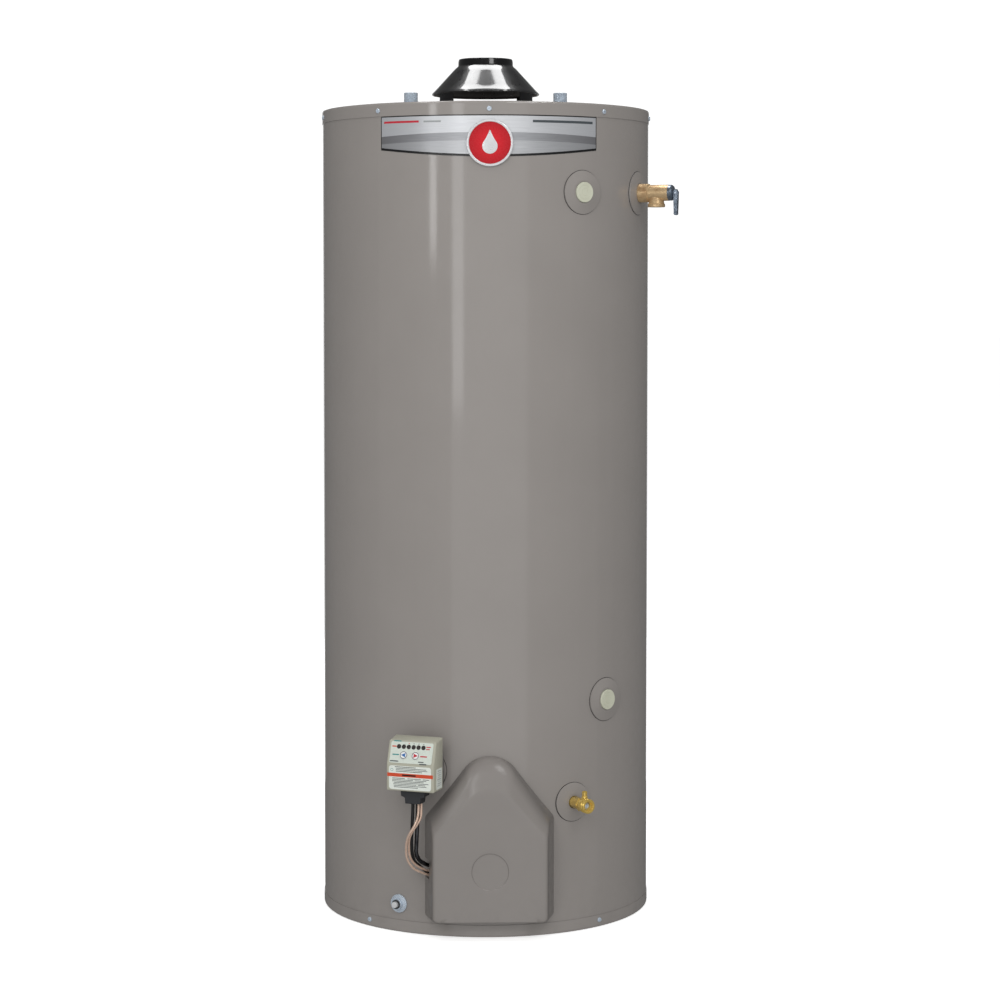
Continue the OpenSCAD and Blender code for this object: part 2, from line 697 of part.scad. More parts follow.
// Routes of the tube and the leads, from the boot down to the burner cover's left side and in to the door.
feed_route = [
    [-128, -325, 249], [-128, -325, 238], [-129, -325, 215], [-130, -324, 190], [-131, -322, 170],
    [-131, -320, 156], [-126, -317, 144], [-117, -311, 136], [-108, -304, 131], [-94, -298, 127],
    [-74, -292, 121], [-50, -286, 113], [-24, -277, 103], [-8, -266, 98], [0, -255, 96], [0, -236, 96],
];
pilot_route = [
    [-122, -333, 249], [-122, -333, 238], [-123, -334, 224], [-129, -336, 212], [-137, -336, 200],
    [-143, -333, 186], [-144, -329, 170], [-143, -325, 154], [-138, -320, 142], [-130, -315, 133],
    [-119, -309, 126], [-108, -303, 121], [-92, -297, 117], [-72, -288, 111], [-50, -276, 103],
    [-38, -264, 98], [-36, -254, 96], [-36, -240, 96], [-33, -205, 101], [-27, -160, 117],
];
thermopile_route = [
    [-127, -336, 249], [-127, -336, 238], [-129, -339, 222], [-135, -342, 209], [-142, -341, 197],
    [-147, -337, 184], [-149, -332, 168], [-148, -328, 151], [-142, -324, 137], [-133, -319, 127],
    [-121, -313, 120], [-108, -305, 114], [-94, -297, 110], [-80, -286, 105], [-64, -272, 99],
    [-55, -261, 96], [-54, -251, 96], [-54, -236, 96], [-48, -205, 101], [-37, -160, 117],
];
igniter_lead_route = [
    [-137, -329, 249], [-137, -329, 238], [-138, -328, 215], [-139, -326, 190], [-139, -323, 170],
    [-138, -320, 155], [-134, -314, 141], [-126, -306, 131], [-116, -299, 121], [-104, -297, 110],
    [-94, -296, 104], [-84, -290, 100], [-76, -274, 97], [-74, -258, 96], [-74, -234, 96],
    [-64, -205, 101], [-47, -160, 117],
];
module burner_feed_tube() color([0.6, 0.6, 0.62]) sweep(smooth_route(feed_route, 4), 3.2, 10);
module pilot_tube() color([0.75, 0.5, 0.35]) sweep(smooth_route(pilot_route, 4), 2.1, 8);
module thermopile_lead() color([0.75, 0.5, 0.35]) sweep(smooth_route(thermopile_route, 4), 2.1, 8);
module igniter_lead() color([0.08, 0.08, 0.09]) sweep(smooth_route(igniter_lead_route, 4), 2.4, 8);

// Piezo igniter at the lower left.
igniter_face = jacket_r + 12;
igniter_travel = 5;
module igniter_bezel() color(zinc) on_jacket(igniter_angle, igniter_z) turned([
    [8.3, jacket_r + 1.2], [15.8, jacket_r + 0.1], [16.5, jacket_r + 0.6], [16.5, jacket_r + 2.4],
    [15.6, jacket_r + 3], [14, jacket_r + 2.4], [8.3, jacket_r + 4.4],
]);

module igniter_nut() color(zinc) on_jacket(igniter_angle, igniter_z) difference() {
    translate([0, 0, jacket_r + 4.5]) cylinder(r = 10.8, h = 5.5, $fn = 6);
    rod(8.3, jacket_r, jacket_r + 20);
}

module igniter_barrel() color([0.2, 0.2, 0.21]) on_jacket(igniter_angle, igniter_z)
    pipe(5.7, 8.2, 272, igniter_face);

module igniter_button() color([0.8, 0.8, 0.8]) on_jacket(igniter_angle, igniter_z) turned([
    [0, 283], [5.6, 283], [5.6, igniter_face + igniter_travel],
    [4.6, igniter_face + igniter_travel + 1], [0, igniter_face + igniter_travel + 1.4],
]);

// Curved name plate under the top pan, with its lower edge on a large arc.
plate_angle = 39;
plate_t = 0.6;
plate_r = jacket_r + 0.15;
plate_top_z = deck_z - top_rim_h - 0.5;
plate_low_z = 1391;
plate_arc_r = 1330;
module name_plate() color([0.75, 0.75, 0.76]) intersection() {
    rotate_extrude(angle = 2 * plate_angle, start = -90 - plate_angle)
        translate([plate_r, plate_low_z - 5]) square([plate_t, plate_top_z - plate_low_z + 5]);
    translate([0, 0, plate_low_z + plate_arc_r]) rotate([90, 0, 0]) cylinder(r = plate_arc_r, h = 400);
}

badge_r = 41.5;
badge_z = 1415;
module round_badge() color([0.78, 0.08, 0.14]) on_jacket(0, badge_z) difference() {
    turned([
        [0, 298], [badge_r, 298], [badge_r, jacket_r + 4], [badge_r - 1, jacket_r + 5],
        [badge_r - 3, jacket_r + 5], [badge_r - 3.6, jacket_r + 4.2], [0, jacket_r + 4.2],
    ]);
    jacket_cutter(plate_r + plate_t + gap);
}

// Burner cover: a tapered pressing, hollow and open at the back, that hangs on the jacket.
cover_t = 1.2;
cover_taper = 15.5;
cover_back = 262;
cover_round = 16;
cover_arc_r = 58;
cover_shoulder_z = 225;
module cover_outline(inset, round, drop) {
    half = cover_w / 2 - inset;
    arc_r = cover_arc_r - inset * 0.4;
    hull() {
        for (x = [-1, 1]) {
            translate([x * (half - 8), cover_low_z + 8 + inset * 0.15]) circle(r = 8, $fn = 24);
            translate([x * (half - round), cover_shoulder_z - round - drop * 0.5]) circle(r = round, $fn = 32);
        }
        translate([0, cover_top_z - arc_r - drop]) circle(r = arc_r, $fn = 48);
    }
}
module cover_slab(inset, round, drop, depth, t)
    translate([0, 0, depth]) linear_extrude(height = t) cover_outline(inset, round, drop);
module cover_solid(t) hull() {
    cover_slab(t, cover_round, t, cover_back, 21);
    cover_slab(cover_taper * 0.5 + t, cover_round, 6 + t, cover_front - 22 - t, 0.5);
    cover_slab(cover_taper - 3 + t, cover_round, 50 + t, cover_front - 3 - t, 0.5);
    cover_slab(cover_taper + 4 + t, cover_round, 63 + t, cover_front - 0.5 - t, 0.5);
}
module burner_cover() color([0.52, 0.5, 0.49]) difference() {
    rotate([90, 0, 0]) difference() {
        cover_solid(0);
        cover_solid(cover_t);
        translate([0, 126, cover_front - 0.8]) cylinder(r = 32.5, h = 5);
    }
    rod(jacket_r + 0.5, 0, 400);
    translate([-130, -316, 104]) cube([50, 60, 38]);
}

// Inner door on the tank's skirt, over the burner opening.
door_half_angle = 21.5;
door_low_z = 54;
door_h = 170;
sight_z = 165;
module inner_door() color(steel) difference() {
    rotate_extrude(angle = 2 * door_half_angle, start = -90 - door_half_angle)
        translate([tank_r + 1, door_low_z]) square([2, door_h]);
    translate([0, -200, sight_z]) rotate([90, 0, 0]) cylinder(r = 16, h = 80);
    for (x = [0, -36, -54, -74]) translate([x, -200, 96]) rotate([90, 0, 0]) cylinder(r = 5, h = 80);
}

module sight_glass() color([0.7, 0.8, 0.85, 0.4]) on_jacket(0, sight_z) rod(15.8, tank_r - 1.5, tank_r + 3);

// Round burner with a ring of ports, on the venturi that brings the gas in from the door.
burner_z = 96;
burner_r = 112;
module main_burner() color(steel) difference() {
    union() {
        turned([
            [0, burner_z - 14], [40, burner_z - 14], [burner_r, burner_z + 4], [burner_r, burner_z + 12],
            [60, burner_z + 20], [0, burner_z + 20],
        ]);
        translate([0, 0, burner_z]) rotate([90, 0, 0]) rod(13, 20, 243);
        for (a = [60, 180, 300]) rotate([0, 0, a]) translate([70, 0, 0])
            rod(4, pan_floor_t + 0.1, burner_z - 5);
    }
    for (i = [0:23]) rotate([0, 0, i * 15]) translate([burner_r - 12, 0, burner_z + 8]) rotate([0, 90, 0])
        cylinder(r = 2.5, h = 30);
    translate([0, 0, burner_z]) rotate([90, 0, 0]) rod(9, 60, 245);
}

module pilot_burner() color(brass) translate([-42, -150, burner_z + 20.1]) {
    rod(6, 1, 34);
    translate([18, 0, 0]) rod(4, 1, 42);
    translate([-11, -7, 0]) cube([34, 117, 2]);
}

base_pan();
jacket();
top_pan();
top_screws();
base_screws();
tank_shell();
top_head();
bottom_head();
flue_tube();
flue_baffle();
foam_insulation();
top_insulation();
lower_blanket();
anode_rod();
anode_cap();
dip_tube();
cold_nipple();
hot_nipple();
nipple_liners();
draft_hood();
hood_legs();
hood_screws();
tank_spuds();
side_tap_plugs();
escutcheons();
relief_valve_body();
relief_valve_cap();
relief_probe();
relief_spring();
relief_stem();
relief_lever_pin();
relief_lever();
drain_valve_body();
drain_stem();
drain_ball();
control_valve_body();
control_well();
control_housing();
control_board();
control_panel();
indicator_lamps();
instruction_labels();
cooler_button();
hotter_button();
connector_boot();
burner_feed_tube();
pilot_tube();
thermopile_lead();
igniter_lead();
igniter_bezel();
igniter_nut();
igniter_barrel();
igniter_button();
name_plate();
round_badge();
burner_cover();
inner_door();
sight_glass();
main_burner();
pilot_burner();
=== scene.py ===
import json
import math

import bmesh
import bpy
from mathutils import Matrix, Vector


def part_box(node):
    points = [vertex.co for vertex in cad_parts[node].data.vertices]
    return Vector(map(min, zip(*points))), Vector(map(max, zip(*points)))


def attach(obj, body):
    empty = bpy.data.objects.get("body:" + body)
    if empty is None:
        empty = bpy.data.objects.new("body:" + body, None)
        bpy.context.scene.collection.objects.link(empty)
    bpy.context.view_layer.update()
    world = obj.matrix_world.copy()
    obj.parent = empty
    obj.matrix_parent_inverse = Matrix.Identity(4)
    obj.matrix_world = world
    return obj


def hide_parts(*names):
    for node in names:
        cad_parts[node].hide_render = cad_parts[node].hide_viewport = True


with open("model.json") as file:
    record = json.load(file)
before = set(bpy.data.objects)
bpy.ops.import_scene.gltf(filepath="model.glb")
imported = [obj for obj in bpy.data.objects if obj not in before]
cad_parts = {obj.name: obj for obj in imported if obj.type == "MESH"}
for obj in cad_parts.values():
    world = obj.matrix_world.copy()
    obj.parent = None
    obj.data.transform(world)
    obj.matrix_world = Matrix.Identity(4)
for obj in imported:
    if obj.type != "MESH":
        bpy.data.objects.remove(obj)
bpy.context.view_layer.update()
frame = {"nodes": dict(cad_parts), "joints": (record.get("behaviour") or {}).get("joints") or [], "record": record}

NODES = frame["nodes"]
JOINTS = {joint["name"]: joint for joint in frame["joints"]}
MOUNTS = {mount["name"]: mount for mount in frame["record"]["mounts"]}
MM = 0.001
UP = Vector((0, 0, 1))


# ---- measures from the frame

def span(node, direction):
    """Least and greatest reach of a CAD node along a direction."""
    reach = [v.co.dot(direction) for v in NODES[node].data.vertices]
    return min(reach), max(reach)


def middle(node, direction):
    """Where a CAD node's middle lies along a direction."""
    return sum(span(node, direction)) / 2


def axes_frame(x, y, z, place):
    """A frame from its three axes and its origin."""
    return Matrix((*zip(x, y, z, place), (0, 0, 0, 1)))


def radial_frame(outward, height):
    """A frame on the tank's axis: x sideways, y up, z away from the axis."""
    out = Vector((outward[0], outward[1], 0)).normalized()
    return axes_frame(UP.cross(out), UP, out, UP * height)


def around(angle, radius, height):
    """A point on a vertical cylinder; the angle is counted from the front, towards the right."""
    return Vector((radius * math.sin(angle), -radius * math.cos(angle), height))


jacket_low, jacket_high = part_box("jacket")
JACKET_R = (jacket_high.x - jacket_low.x) / 2


# ---- materials

def srgb(red, green, blue):
    """Linear colour of a display colour from 0 to 255."""
    def channel(value):
        share = value / 255
        return share / 12.92 if share <= 0.04045 else ((share + 0.055) / 1.055) ** 2.4
    return (channel(red), channel(green), channel(blue), 1.0)


class Nodes:
    """A material's node tree, with short calls for the nodes that the finishes share."""

    def __init__(self, name):
        self.material = bpy.data.materials.new(name)
        self.material.use_nodes = True
        self.tree = self.material.node_tree
        self.shader = self.tree.nodes["Principled BSDF"]
        self.place = self.add("ShaderNodeTexCoord").outputs["Object"]

    def add(self, kind, **settings):
        node = self.tree.nodes.new(kind)
        for key, value in settings.items():
            setattr(node, key, value)
        return node

    def link(self, output, socket):
        self.tree.links.new(output, socket)

    def stretched(self, scale):
        node = self.add("ShaderNodeMapping")
        self.link(self.place, node.inputs["Vector"])
        node.inputs["Scale"].default_value = scale
        return node.outputs["Vector"]

    def noise(self, scale, detail=4.0, vector=None):
        node = self.add("ShaderNodeTexNoise")
        self.link(vector or self.place, node.inputs["Vector"])
        node.inputs["Scale"].default_value = scale
        node.inputs["Detail"].default_value = detail
        return node.outputs["Fac"]

    def cells(self, scale):
        node = self.add("ShaderNodeTexVoronoi")
        self.link(self.place, node.inputs["Vector"])
        node.inputs["Scale"].default_value = scale
        return node.outputs["Color"]

    def ranged(self, value, low, high, to_low=0.0, to_high=1.0):
        node = self.add("ShaderNodeMapRange")
        self.link(value, node.inputs["Value"])
        for key, number in (("From Min", low), ("From Max", high), ("To Min", to_low), ("To Max", to_high)):
            node.inputs[key].default_value = number
        return node.outputs["Result"]

    def mixed(self, factor, first, second):
        """Colour mix; first and second are colours or outputs."""
        node = self.add("ShaderNodeMix", data_type="RGBA")
        self.link(factor, node.inputs["Factor"])
        for socket, value in ((node.inputs[6], first), (node.inputs[7], second)):
            if isinstance(value, tuple):
                socket.default_value = value
            else:
                self.link(value, socket)
        return node.outputs[2]

    def maths(self, operation, first, second=None):
        node = self.add("ShaderNodeMath", operation=operation)
        for socket, value in zip(node.inputs, (first, second)):
            if value is None:
                continue
            if isinstance(value, (int, float)):
                socket.default_value = value
            else:
                self.link(value, socket)
        return node.outputs[0]

    def axes(self):
        node = self.add("ShaderNodeSeparateXYZ")
        self.link(self.place, node.inputs[0])
        return node.outputs

    def bump(self, height, strength, distance, normal=None):
        node = self.add("ShaderNodeBump")
        self.link(height, node.inputs["Height"])
        node.inputs["Strength"].default_value = strength
        node.inputs["Distance"].default_value = distance
        if normal is not None:
            self.link(normal, node.inputs["Normal"])
        return node.outputs["Normal"]

    def soft_edge(self, radius):
        node = self.add("ShaderNodeBevel", samples=4)
        node.inputs["Radius"].default_value = radius
        return node.outputs["Normal"]

    def set(self, **values):
        for key, value in values.items():
            self.shader.inputs[key.replace("_", " ")].default_value = value

    def finish(self, colour=None, rough=None, normal=None, coat_normal=None):
        names = ("Base Color", "Roughness", "Normal", "Coat Normal")
        for key, output in zip(names, (colour, rough, normal, coat_normal)):
            if output is not None:
                self.link(output, self.shader.inputs[key])
        return self.material


def shaded(colour, share):
    """A colour made deeper or lighter by a share."""
    return tuple(c * share for c in colour[:3]) + (1.0,)


def enamel(name, colour, coat=0.9, coat_rough=0.1, rough=0.5, peel=0.05, flank_shade=0.0):
    """Paint on sheet steel: faint mottling, orange peel under a clear gloss and a little dust low down.

    A flank shade share paints shade: the paint is made deeper where a pressing turns back towards the jacket, away
    from the light.
    """
    m = Nodes(name)
    mottle = m.ranged(m.noise(9, 5), 0.3, 0.7)
    fine = m.ranged(m.noise(900, 3), 0.3, 0.7, 0.0, 0.35)
    tone = m.mixed(mottle, shaded(colour, 0.975), shaded(colour, 1.025))
    tone = m.mixed(fine, tone, shaded(colour, 0.93))
    low = m.ranged(m.axes()["Z"], 0.12, 0.0, 0.0, 0.5)
    dust = m.maths("MULTIPLY", low, m.ranged(m.noise(35, 6), 0.45, 0.8))
    tone = m.mixed(dust, tone, shaded(colour, 0.8))
    if flank_shade:
        # painted shade: darker where the surface faces sideways, as a pressing's flanks do
        facing = m.add("ShaderNodeSeparateXYZ")
        m.link(m.add("ShaderNodeNewGeometry").outputs["Normal"], facing.inputs[0])
        painted_flank_shade = m.ranged(m.maths("ABSOLUTE", facing.outputs["X"]), 0.35, 0.9, 0.0, flank_shade)
        tone = m.mixed(painted_flank_shade, tone, shaded(colour, 0.4))
    rough_map = m.ranged(m.noise(60, 5), 0.3, 0.7, rough - 0.05, rough + 0.07)
    orange_peel = m.bump(m.noise(420, 2), peel, 0.0004)
    m.set(Metallic=0.0, Specular_IOR_Level=0.25, Coat_Weight=coat, Coat_Roughness=coat_rough, Coat_IOR=1.5)
    return m.finish(tone, rough_map, orange_peel, orange_peel)


def bare_metal(name, colour, rough=0.3, grain=700, brushed=(1, 1, 1), patina=None, bump=0.08, metal=1.0,
               wear=0.75):
    """Turned, brushed or cast metal with uneven tone and a worn, softly rounded edge."""
    m = Nodes(name)
    vector = m.stretched(brushed)
    streaks = m.ranged(m.noise(grain, 6, vector), 0.3, 0.7)
    tone = m.mixed(streaks, shaded(colour, 1 - 0.08 * wear), shaded(colour, 1 + 0.08 * wear))
    stain = m.ranged(m.noise(70, 6), 0.48, 0.72, 0.0, wear)
    tone = m.mixed(stain, tone, patina or shaded(colour, 0.72))
    rough_map = m.ranged(m.noise(grain / 3, 5, vector), 0.25, 0.75, rough * 0.7, min(1.0, rough * 1.45))
    normal = m.bump(m.noise(grain, 4, vector), bump, 0.0003, m.soft_edge(0.0003))
    m.set(Metallic=metal)
    return m.finish(tone, rough_map, normal)


def spangled(name, colour, rough=0.3, size=450):
    """Zinc plate: small crystals of slightly different tone."""
    m = Nodes(name)
    crystals = m.ranged(m.cells(size), 0.0, 1.0, 0.0, 0.6)
    tone = m.mixed(crystals, shaded(colour, 1.04), shaded(colour, 0.88))
    haze = m.ranged(m.noise(130, 5), 0.4, 0.7, 0.0, 0.35)
    tone = m.mixed(haze, tone, srgb(150, 160, 176))
    rough_map = m.ranged(m.noise(260, 5), 0.3, 0.7, rough * 0.75, rough * 1.4)
    normal = m.bump(m.noise(800, 3), 0.08, 0.0002, m.soft_edge(0.0003))
    m.set(Metallic=0.35)
    return m.finish(tone, rough_map, normal)


def moulded(name, colour, rough=0.45, grain=1500, bump=0.15, coat=0.0, second=None):
    """Moulded plastic: spark textured skin with faint flow marks."""
    m = Nodes(name)
    flow = m.ranged(m.noise(26, 5, m.stretched((1, 1, 0.35))), 0.3, 0.7)
    tone = m.mixed(flow, shaded(colour, 0.965), second or shaded(colour, 1.03))
    speck = m.ranged(m.noise(grain, 2), 0.55, 0.8, 0.0, 0.3)
    tone = m.mixed(speck, tone, shaded(colour, 0.85))
    rough_map = m.ranged(m.noise(grain / 4, 4), 0.3, 0.7, rough - 0.06, rough + 0.08)
    normal = m.bump(m.noise(grain, 3), bump, 0.0002, m.soft_edge(0.0003))
    m.set(Metallic=0.0, Coat_Weight=coat, Coat_Roughness=0.12)
    return m.finish(tone, rough_map, normal)


def printed(name, colour, rough=0.4):
    """Ink on film: slightly uneven cover and a fine grain."""
    m = Nodes(name)
    cover = m.ranged(m.noise(350, 4), 0.35, 0.75, 0.0, 0.7)
    tone = m.mixed(cover, colour, shaded(colour, 0.86))
    rough_map = m.ranged(m.noise(900, 3), 0.3, 0.7, rough - 0.05, rough + 0.1)
    normal = m.bump(m.noise(1800, 2), 0.05, 0.0001)
    m.set(Metallic=0.0, Coat_Weight=0.25, Coat_Roughness=0.2)
    return m.finish(tone, rough_map, normal)


def silver_film(name, lit_centre_colour, shaded_end_colour, rough=0.34):
    """Brushed silver foil with painted shade: darker from the middle of the plate towards its ends, where the
    curved plate turns away from the light.
    """
    m = Nodes(name)
    along = m.maths("ABSOLUTE", m.axes()["X"])
    # painted shade: the tone darkens towards the plate's ends
    fade = m.ranged(along, 0.02, 0.19)
    tone = m.mixed(fade, lit_centre_colour, shaded_end_colour)
    brushed = m.ranged(m.noise(900, 4, m.stretched((0.03, 0.03, 1))), 0.3, 0.7, 0.0, 0.35)
    tone = m.mixed(brushed, tone, shaded(shaded_end_colour, 0.9))
    rough_map = m.ranged(m.noise(500, 4), 0.3, 0.7, rough - 0.05, rough + 0.07)
    normal = m.bump(m.noise(1200, 3, m.stretched((0.03, 0.03, 1))), 0.05, 0.0001)
    m.set(Metallic=0.35)
    return m.finish(tone, rough_map, normal)


def red_enamel(name):
    """Translucent red over the badge: deeper towards the rim."""
    m = Nodes(name)
    axes = m.axes()
    across = m.maths("POWER", axes["X"], 2.0)
    above = m.maths("POWER", m.maths("SUBTRACT", axes["Z"], BADGE_Z), 2.0)
    away = m.maths("SQRT", m.maths("ADD", across, above))
    fade = m.ranged(away, 0.3 * BADGE_R, BADGE_R)
    tone = m.mixed(fade, srgb(206, 22, 36), srgb(166, 6, 22))
    cloud = m.ranged(m.noise(120, 4), 0.35, 0.7, 0.0, 0.25)
    tone = m.mixed(cloud, tone, srgb(180, 10, 28))
    rough_map = m.ranged(m.noise(300, 4), 0.3, 0.7, 0.22, 0.34)
    normal = m.bump(m.noise(700, 2), 0.03, 0.0002)
    m.set(Specular_IOR_Level=0.2, Coat_Weight=0.3, Coat_Roughness=0.08)
    return m.finish(tone, rough_map, normal, normal)


def fibre(name, colour):
    """Glass fibre or foam: matted, with holes and paler strands."""
    m = Nodes(name)
    strands = m.ranged(m.noise(220, 8, m.stretched((1, 1, 3))), 0.3, 0.7)
    tone = m.mixed(strands, shaded(colour, 0.7), shaded(colour, 1.1))
    rough_map = m.ranged(m.noise(90, 4), 0.3, 0.7, 0.85, 1.0)
    normal = m.bump(m.noise(260, 8), 0.7, 0.002)
    m.set(Sheen_Weight=0.3)
    return m.finish(tone, rough_map, normal)


def window(name, colour):
    """Heat proof glass with a trace of soot."""
    m = Nodes(name)
    soot = m.ranged(m.noise(90, 6), 0.45, 0.75, 0.0, 0.6)
    tone = m.mixed(soot, colour, srgb(60, 56, 50))
    rough_map = m.ranged(m.noise(200, 4), 0.3, 0.7, 0.04, 0.2)
    m.set(Transmission_Weight=0.7, IOR=1.47)
    return m.finish(tone, rough_map)


badge_low, badge_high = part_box("round_badge")
BADGE_R = (badge_high.x - badge_low.x) / 2
BADGE_Z = (badge_high.z + badge_low.z) / 2

FINISHES = {
    "jacket_paint": enamel("jacket_enamel", srgb(144, 139, 135), coat=0.75),
    # the cover's paint carries painted shade on its flanks
    "cover_paint": enamel("cover_enamel", srgb(132, 127, 123), coat=0.8, coat_rough=0.22, flank_shade=0.6),
    "tank_steel": bare_metal("rolled_steel", srgb(120, 120, 124), 0.5, 300, (1, 1, 0.1), srgb(96, 84, 72)),
    "flue_steel": bare_metal("flue_steel", srgb(100, 98, 98), 0.6, 200, (1, 1, 0.2), srgb(80, 62, 48)),
    "insulation_foam": fibre("rigid_foam", srgb(226, 206, 150)),
    "fibre_blanket": fibre("glass_fibre", srgb(222, 196, 112)),
    "anode_metal": bare_metal("anode_alloy", srgb(150, 150, 152), 0.55, 260, (1, 1, 0.2)),
    "dark_plastic": moulded("dark_moulding", srgb(52, 53, 56), 0.42, 1200),
    "tube_plastic": moulded("tube_moulding", srgb(210, 214, 214), 0.35, 900),
    "zinc_steel": spangled("zinc_plate", srgb(208, 220, 232), 0.26),
    "black_enamel": enamel("black_gloss", srgb(14, 14, 16), coat=1.0, coat_rough=0.07, rough=0.3, peel=0.03),
    "plug_plastic": moulded("plug_moulding", srgb(190, 191, 170), 0.5, 700, 0.35, second=srgb(204, 206, 188)),
    "relief_brass": bare_metal("cast_brass", srgb(222, 192, 148), 0.36, 700, patina=srgb(176, 132, 92),
                               bump=0.25, metal=0.6),
    "lever_steel": bare_metal("blued_steel", srgb(134, 146, 160), 0.32, 800, patina=srgb(70, 80, 92),
                              bump=0.15, metal=0.8),
    "copper_sheath": bare_metal("drawn_copper", srgb(236, 206, 186), 0.26, 160, (1, 1, 0.3),
                                srgb(200, 160, 136), 0.04, 0.5, 0.3),
    "drain_brass": bare_metal("turned_brass", srgb(240, 206, 112), 0.16, 500, patina=srgb(196, 152, 62),
                              bump=0.04, metal=0.6, wear=0.4),
    "control_casting": bare_metal("die_casting", srgb(150, 152, 156), 0.5, 500, bump=0.3),
    "housing_plastic": moulded("housing_moulding", srgb(172, 171, 155), 0.42, 1300, 0.2),
    "board_green": moulded("board_laminate", srgb(36, 96, 60), 0.3, 500, 0.1),
    "panel_film": printed("panel_film", srgb(205, 213, 203)),
    "lamp_window": moulded("smoked_window", srgb(48, 44, 42), 0.15, 900, 0.03, coat=0.8),
    "label_film": printed("label_film", srgb(222, 228, 220), 0.5),
    "button_plastic": moulded("button_moulding", srgb(226, 229, 228), 0.25, 1500, 0.05, coat=0.4),
    "feed_aluminium": bare_metal("drawn_tube", srgb(96, 97, 100), 0.24, 800, (1, 1, 0.2), srgb(56, 56, 60)),
    "black_sleeve": moulded("black_sleeving", srgb(26, 26, 28), 0.4, 1600, 0.2, coat=0.2),
    "igniter_button_plastic": moulded("igniter_moulding", srgb(196, 198, 200), 0.3, 1200, 0.08, coat=0.3),
    "plate_silver": silver_film("plate_film", srgb(226, 228, 231), srgb(186, 188, 192)),
    "badge_red": red_enamel("badge_enamel"),
    "glass_window": window("heat_glass", srgb(214, 226, 228)),
    "burner_steel": bare_metal("pressed_steel", srgb(112, 110, 110), 0.5, 350, patina=srgb(86, 66, 52)),
}
for part in frame["record"]["subparts"]:
    mesh = NODES[part["node"]].data
    mesh.materials.clear()
    mesh.materials.append(FINISHES[part["material_slot"]])

# the plate's three tones each carry painted shade towards the plate's ends
MID_SILVER = silver_film("plate_film_mid", srgb(186, 188, 192), srgb(120, 120, 123))
LOW_SILVER = silver_film("plate_film_low", srgb(206, 208, 211), srgb(150, 151, 154))
BLACK_INK = printed("black_ink", srgb(22, 22, 24), 0.35)
GREY_INK = printed("grey_ink", srgb(72, 78, 82))
PALE_INK = printed("pale_grey_ink", srgb(150, 154, 154))
RED_INK = printed("red_ink", srgb(190, 36, 52))
TEAL_INK = printed("teal_ink", srgb(60, 140, 138))
BLUE_INK = printed("blue_ink", srgb(38, 104, 168))
ORANGE_INK = printed("orange_ink", srgb(206, 74, 40))
RING_SILVER = bare_metal("ring_silver", srgb(226, 227, 229), 0.3, 500, bump=0.02, metal=0.45, wear=0.15)


# ---- mesh builders

def closed_mesh(name, shape, place=None):
    """A mesh from points and faces, with doubled points joined and the faces turned outwards."""
    points, faces = shape
    mesh = bpy.data.meshes.new(name)
    mesh.from_pydata([tuple(p) for p in points], [], faces)
    if place is not None:
        mesh.transform(place)
    made = bmesh.new()
    made.from_mesh(mesh)
    bmesh.ops.remove_doubles(made, verts=made.verts, dist=1e-7)
    bmesh.ops.recalc_face_normals(made, faces=made.faces)
    made.to_mesh(mesh)
    made.free()
    return mesh


def add_piece(name, shape, slot, finish=None, body="heater", place=None, sharp=32, replaces=()):
    """A piece in the row frame that rides on a body; its finish is the slot's unless another is given."""
    piece = bpy.data.objects.new(name, closed_mesh(name, shape, place))
    bpy.context.scene.collection.objects.link(piece)
    return dress(piece, slot, finish, body, sharp, replaces)


def dress(piece, slot, finish=None, body="heater", sharp=32, replaces=()):
    mesh = piece.data
    mesh.materials.clear()
    mesh.materials.append(finish or FINISHES[slot])
    mesh.polygons.foreach_set("use_smooth", [True] * len(mesh.polygons))
    mesh.set_sharp_from_angle(angle=math.radians(sharp))
    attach(piece, body)
    if replaces:
        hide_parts(*replaces)
    return piece


def rings(rows, closed=True, cap_first=False, cap_last=False):
    """Faces between rows of points that all have the same length; points are flattened."""
    count = len(rows[0])
    points = [p for row in rows for p in row]
    faces = []
    for i in range(len(rows) - 1):
        for k in range(count if closed else count - 1):
            j = (k + 1) % count
            faces.append((i * count + k, i * count + j, (i + 1) * count + j, (i + 1) * count + k))
    if cap_first:
        faces.append(tuple(range(count - 1, -1, -1)))
    if cap_last:
        faces.append(tuple((len(rows) - 1) * count + k for k in range(count)))
    return points, faces


def circle_row(radius, height, count):
    angles = [2 * math.pi * k / count for k in range(count)]
    return [Vector((radius * math.cos(a), radius * math.sin(a), height)) for a in angles]


def circle_rows(profile, count=72):
    """Rows for a turned part about Z from (radius, height) pairs in millimetres."""
    return [circle_row(radius * MM, height * MM, count) for radius, height in profile]


def looped(profile, count):
    """A turned ring whose profile closes on itself."""
    return rings(circle_rows([*profile, profile[0]], count))


def arc(centre, radius, start, end, steps):
    """Points of an arc in the plane, angles in degrees."""
    return [
        (
            centre[0] + radius * math.cos(math.radians(start + (end - start) * i / steps)),
            centre[1] + radius * math.sin(math.radians(start + (end - start) * i / steps)),
        )
        for i in range(steps + 1)
    ]


def rounded_box_outline(width, height, radius, steps=5):
    """Outline of a rounded rectangle about the origin, in the units it is given."""
    x, y = width / 2 - radius, height / 2 - radius
    return (
        arc((x, y), radius, 0, 90, steps) + arc((-x, y), radius, 90, 180, steps)
        + arc((-x, -y), radius, 180, 270, steps) + arc((x, -y), radius, 270, 360, steps)
    )


def prism(outline, low, high):
    """Points and faces of an outline pushed from one height to another, in millimetres."""
    rows = [[Vector((x * MM, y * MM, z * MM)) for x, y in outline] for z in (low, high)]
    return rings(rows, True, True, True)


def catmull(before, start, end, after, t):
    return 0.5 * (
        2 * start + (end - before) * t + (2 * before - 5 * start + 4 * end - after) * t * t
        + (3 * start - before - 3 * end + after) * t ** 3
    )


